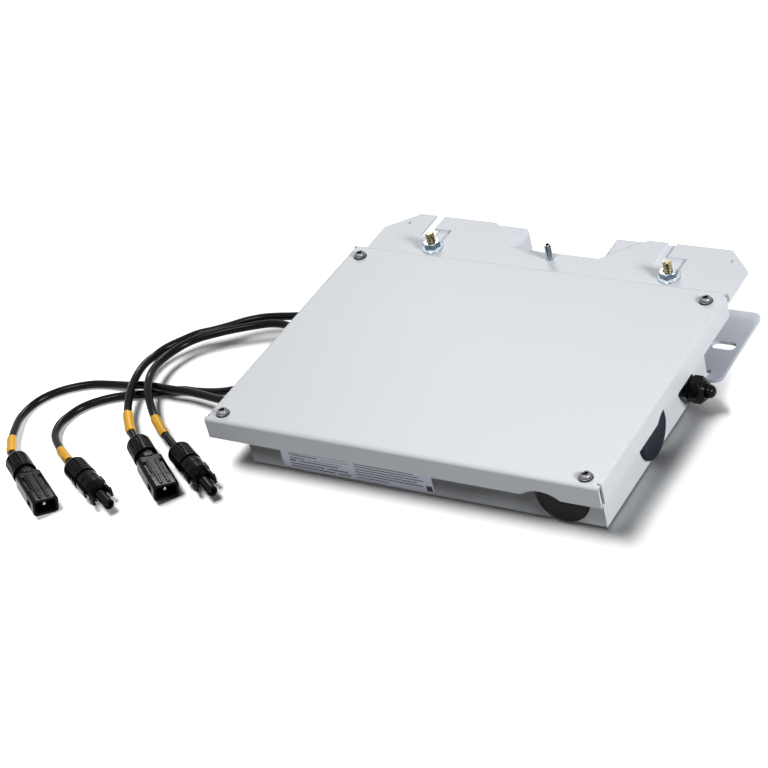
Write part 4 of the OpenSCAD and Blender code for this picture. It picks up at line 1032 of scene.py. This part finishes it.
foil = prism([(0, 0), (width, 0), (width, height), (0, height)], FOIL)
upright = at(PLATE_LEFT, WALL_FRONT, PLATE_FOOT) @ Matrix.Rotation(math.pi / 2, 4, "X")
piece("front_foil", foil, foil_paper, [], [upright])

# %% [markdown]
# ## Finishes for the solids that stay
# Folded sheet is what the CAD model does best, so the case, the hook plate and the
# bracket stay as they are. They only need their paint. The parts inside get theirs too,
# for anyone who takes the lid off.

# %% Assign finishes
FINISH_OF = {
    case_paint: ["tray", "lid", "hook_plate"],
    bracket_paint: ["mounting_bracket"],
    gasket_rubber: ["lid_gasket"],
    bright_zinc: ["press_nuts", "board_spacers", "board_screws"],
    plug_black: ["plug_locknuts", "gland_locknuts"],
    lead_sheath: ["inner_wires"],
    board_green: ["circuit_board"],
    terminal_green: ["input_terminals", "output_terminals"],
    relay_blue: ["relay_1", "relay_2"],
    module_grey: ["power_module"],
    earth_brass: ["earth_terminal"],
}
for finish, names in FINISH_OF.items():
    for name in names:
        mesh = frame["nodes"][name].data
        mesh.materials.clear()
        mesh.materials.append(finish.material)
bare = [n for n, o in frame["nodes"].items()
        if not o.hide_render and not any(n in names for names in FINISH_OF.values())]
print("solids still without a finish:", bare)

# %% [markdown]
# ## The studio
# A key light stands at the right, nearly 30 degrees up, and a second one overhead, a little
# towards the front. The lip of the lid shades the front wall from both, so that wall is the
# darkest sheet. Two small lamps draw the thin highlights on the black plastics: one behind,
# one in front. The floor has its own wide lamp overhead, a little to the left, so the soft
# shadow falls to the right. Light linking keeps it apart from the others. To the camera the
# floor is white but for that shadow. It glows towards full white far out, which also pales
# the far ends of the leads' shadows, and behind the box a painted light lifts it to white
# over the box's shadow there. To the box it is dark, or its bounce would wash out the wall.

# %% Floor and surroundings
floor_shape = bmesh.new()
bmesh.ops.create_grid(floor_shape, x_segments=1, y_segments=1, size=6)
floor_mesh = bpy.data.meshes.new("floor")
floor_shape.to_mesh(floor_mesh)
floor = placed("floor", floor_mesh)
floor.location.z = -0.3 * MM


def shown(graph, hidden, seen):
    """Shows one shader to the camera and in reflections, and the hidden one to other rays."""
    rays = [graph.node("ShaderNodeLightPath", output=name)
            for name in ("Is Camera Ray", "Is Glossy Ray", "Is Transmission Ray")]
    share = rays[0]
    for ray in rays[1:]:
        share = share.math("MAXIMUM", share, ray)
    return graph.node("ShaderNodeMixShader", values=[share, hidden, seen])


def grey(level):
    return (level, level, level, 1)


FLOOR_SEEN, FLOOR_LIFT, FLOOR_BOUNCE = 0.95, 0.03, 0.05
NEAR, FAR = 0.24, 0.42
BACKWARDS, BACK_START, BACK_END = (0.5, 1, 0), 0.07, 0.135

sweep = bpy.data.materials.new("sweep")
ground = Graph(sweep)
ground.tree.nodes.clear()
spot = ground.node("ShaderNodeTexCoord", output="Object")
reach = ground.node("ShaderNodeVectorMath", {"operation": "LENGTH"}, [spot], "Value")
dot = {"operation": "DOT_PRODUCT"}
back = ground.node("ShaderNodeVectorMath", dot, [spot, BACKWARDS], "Value")
far = ground.node("ShaderNodeMapRange", values=[reach, NEAR, FAR, FLOOR_LIFT, 1.0])
# Painted light: behind the box the floor glows white over the box's shadow.
behind = ground.node("ShaderNodeMapRange", values=[back, BACK_START, BACK_END, 0.0, 1.0])
white_and_painted_light = ground.node("ShaderNodeEmission", values=[grey(1), far.math("MAXIMUM", far, behind)])
pale = ground.node("ShaderNodeBsdfDiffuse", values=[grey(FLOOR_SEEN)])
bright = ground.node("ShaderNodeAddShader", values=[pale, white_and_painted_light])
dull = ground.node("ShaderNodeBsdfDiffuse", values=[grey(FLOOR_BOUNCE)])
ground.node("ShaderNodeOutputMaterial", values=[shown(ground, dull, bright)])
floor_mesh.materials.append(sweep)

AMBIENT, AMBIENT_TINT = 0.05, (0.93, 0.96, 1.0, 1)
world = bpy.data.worlds.new("studio")
bpy.context.scene.world = world
room = Graph(world)
room.tree.nodes.clear()
dim = room.node("ShaderNodeBackground", values=[AMBIENT_TINT, AMBIENT])
white = room.node("ShaderNodeBackground", values=[grey(1), 1.0])
room.node("ShaderNodeOutputWorld", values=[shown(room, dim, white)])

# %% Lights
MIDDLE = Vector((-0.02, -0.02, 0.03))


def softbox(name, heading, distance, size, power, colour=(1, 1, 1)):
    """An area lamp that stands off the middle of the box and aims at it."""
    spot = MIDDLE + distance * Vector(heading).normalized()
    data = bpy.data.lights.new(name, "AREA")
    data.shape, data.size, data.size_y = "RECTANGLE", *size
    data.energy, data.color = power, colour
    made = placed(name, data)
    made.location = spot
    made.rotation_euler = (MIDDLE - spot).to_track_quat("-Z", "Y").to_euler()
    return made


def only_on(lamps, name, state):
    """Links lamps to the floor alone, or to all but the floor."""
    group = bpy.data.collections.new(name)
    group.objects.link(floor)
    group.collection_objects[0].light_linking.link_state = state
    for lamp in lamps:
        lamp.light_linking.receiver_collection = group


key = softbox("key", (0.82, -0.22, 0.44), 1.6, (0.40, 0.40), 23, (0.97, 0.99, 1))
top = softbox("top", (-0.12, -0.48, 1.0), 1.8, (0.45, 0.45), 11.7)
sheen = softbox("sheen", (-0.467, 0.673, 0.573), 1.8, (0.45, 0.10), 6)
glint = softbox("glint", (0.30, -0.60, 0.80), 1.6, (0.05, 0.05), 1.5)
wash = softbox("wash", (-0.30, -0.18, 1.0), 2.0, (1.2, 0.62), 51)
only_on([wash], "floor alone", "INCLUDE")
only_on([key, top, sheen, glint], "all but the floor", "EXCLUDE")

scene = bpy.context.scene
scene.view_settings.view_transform = "Standard"
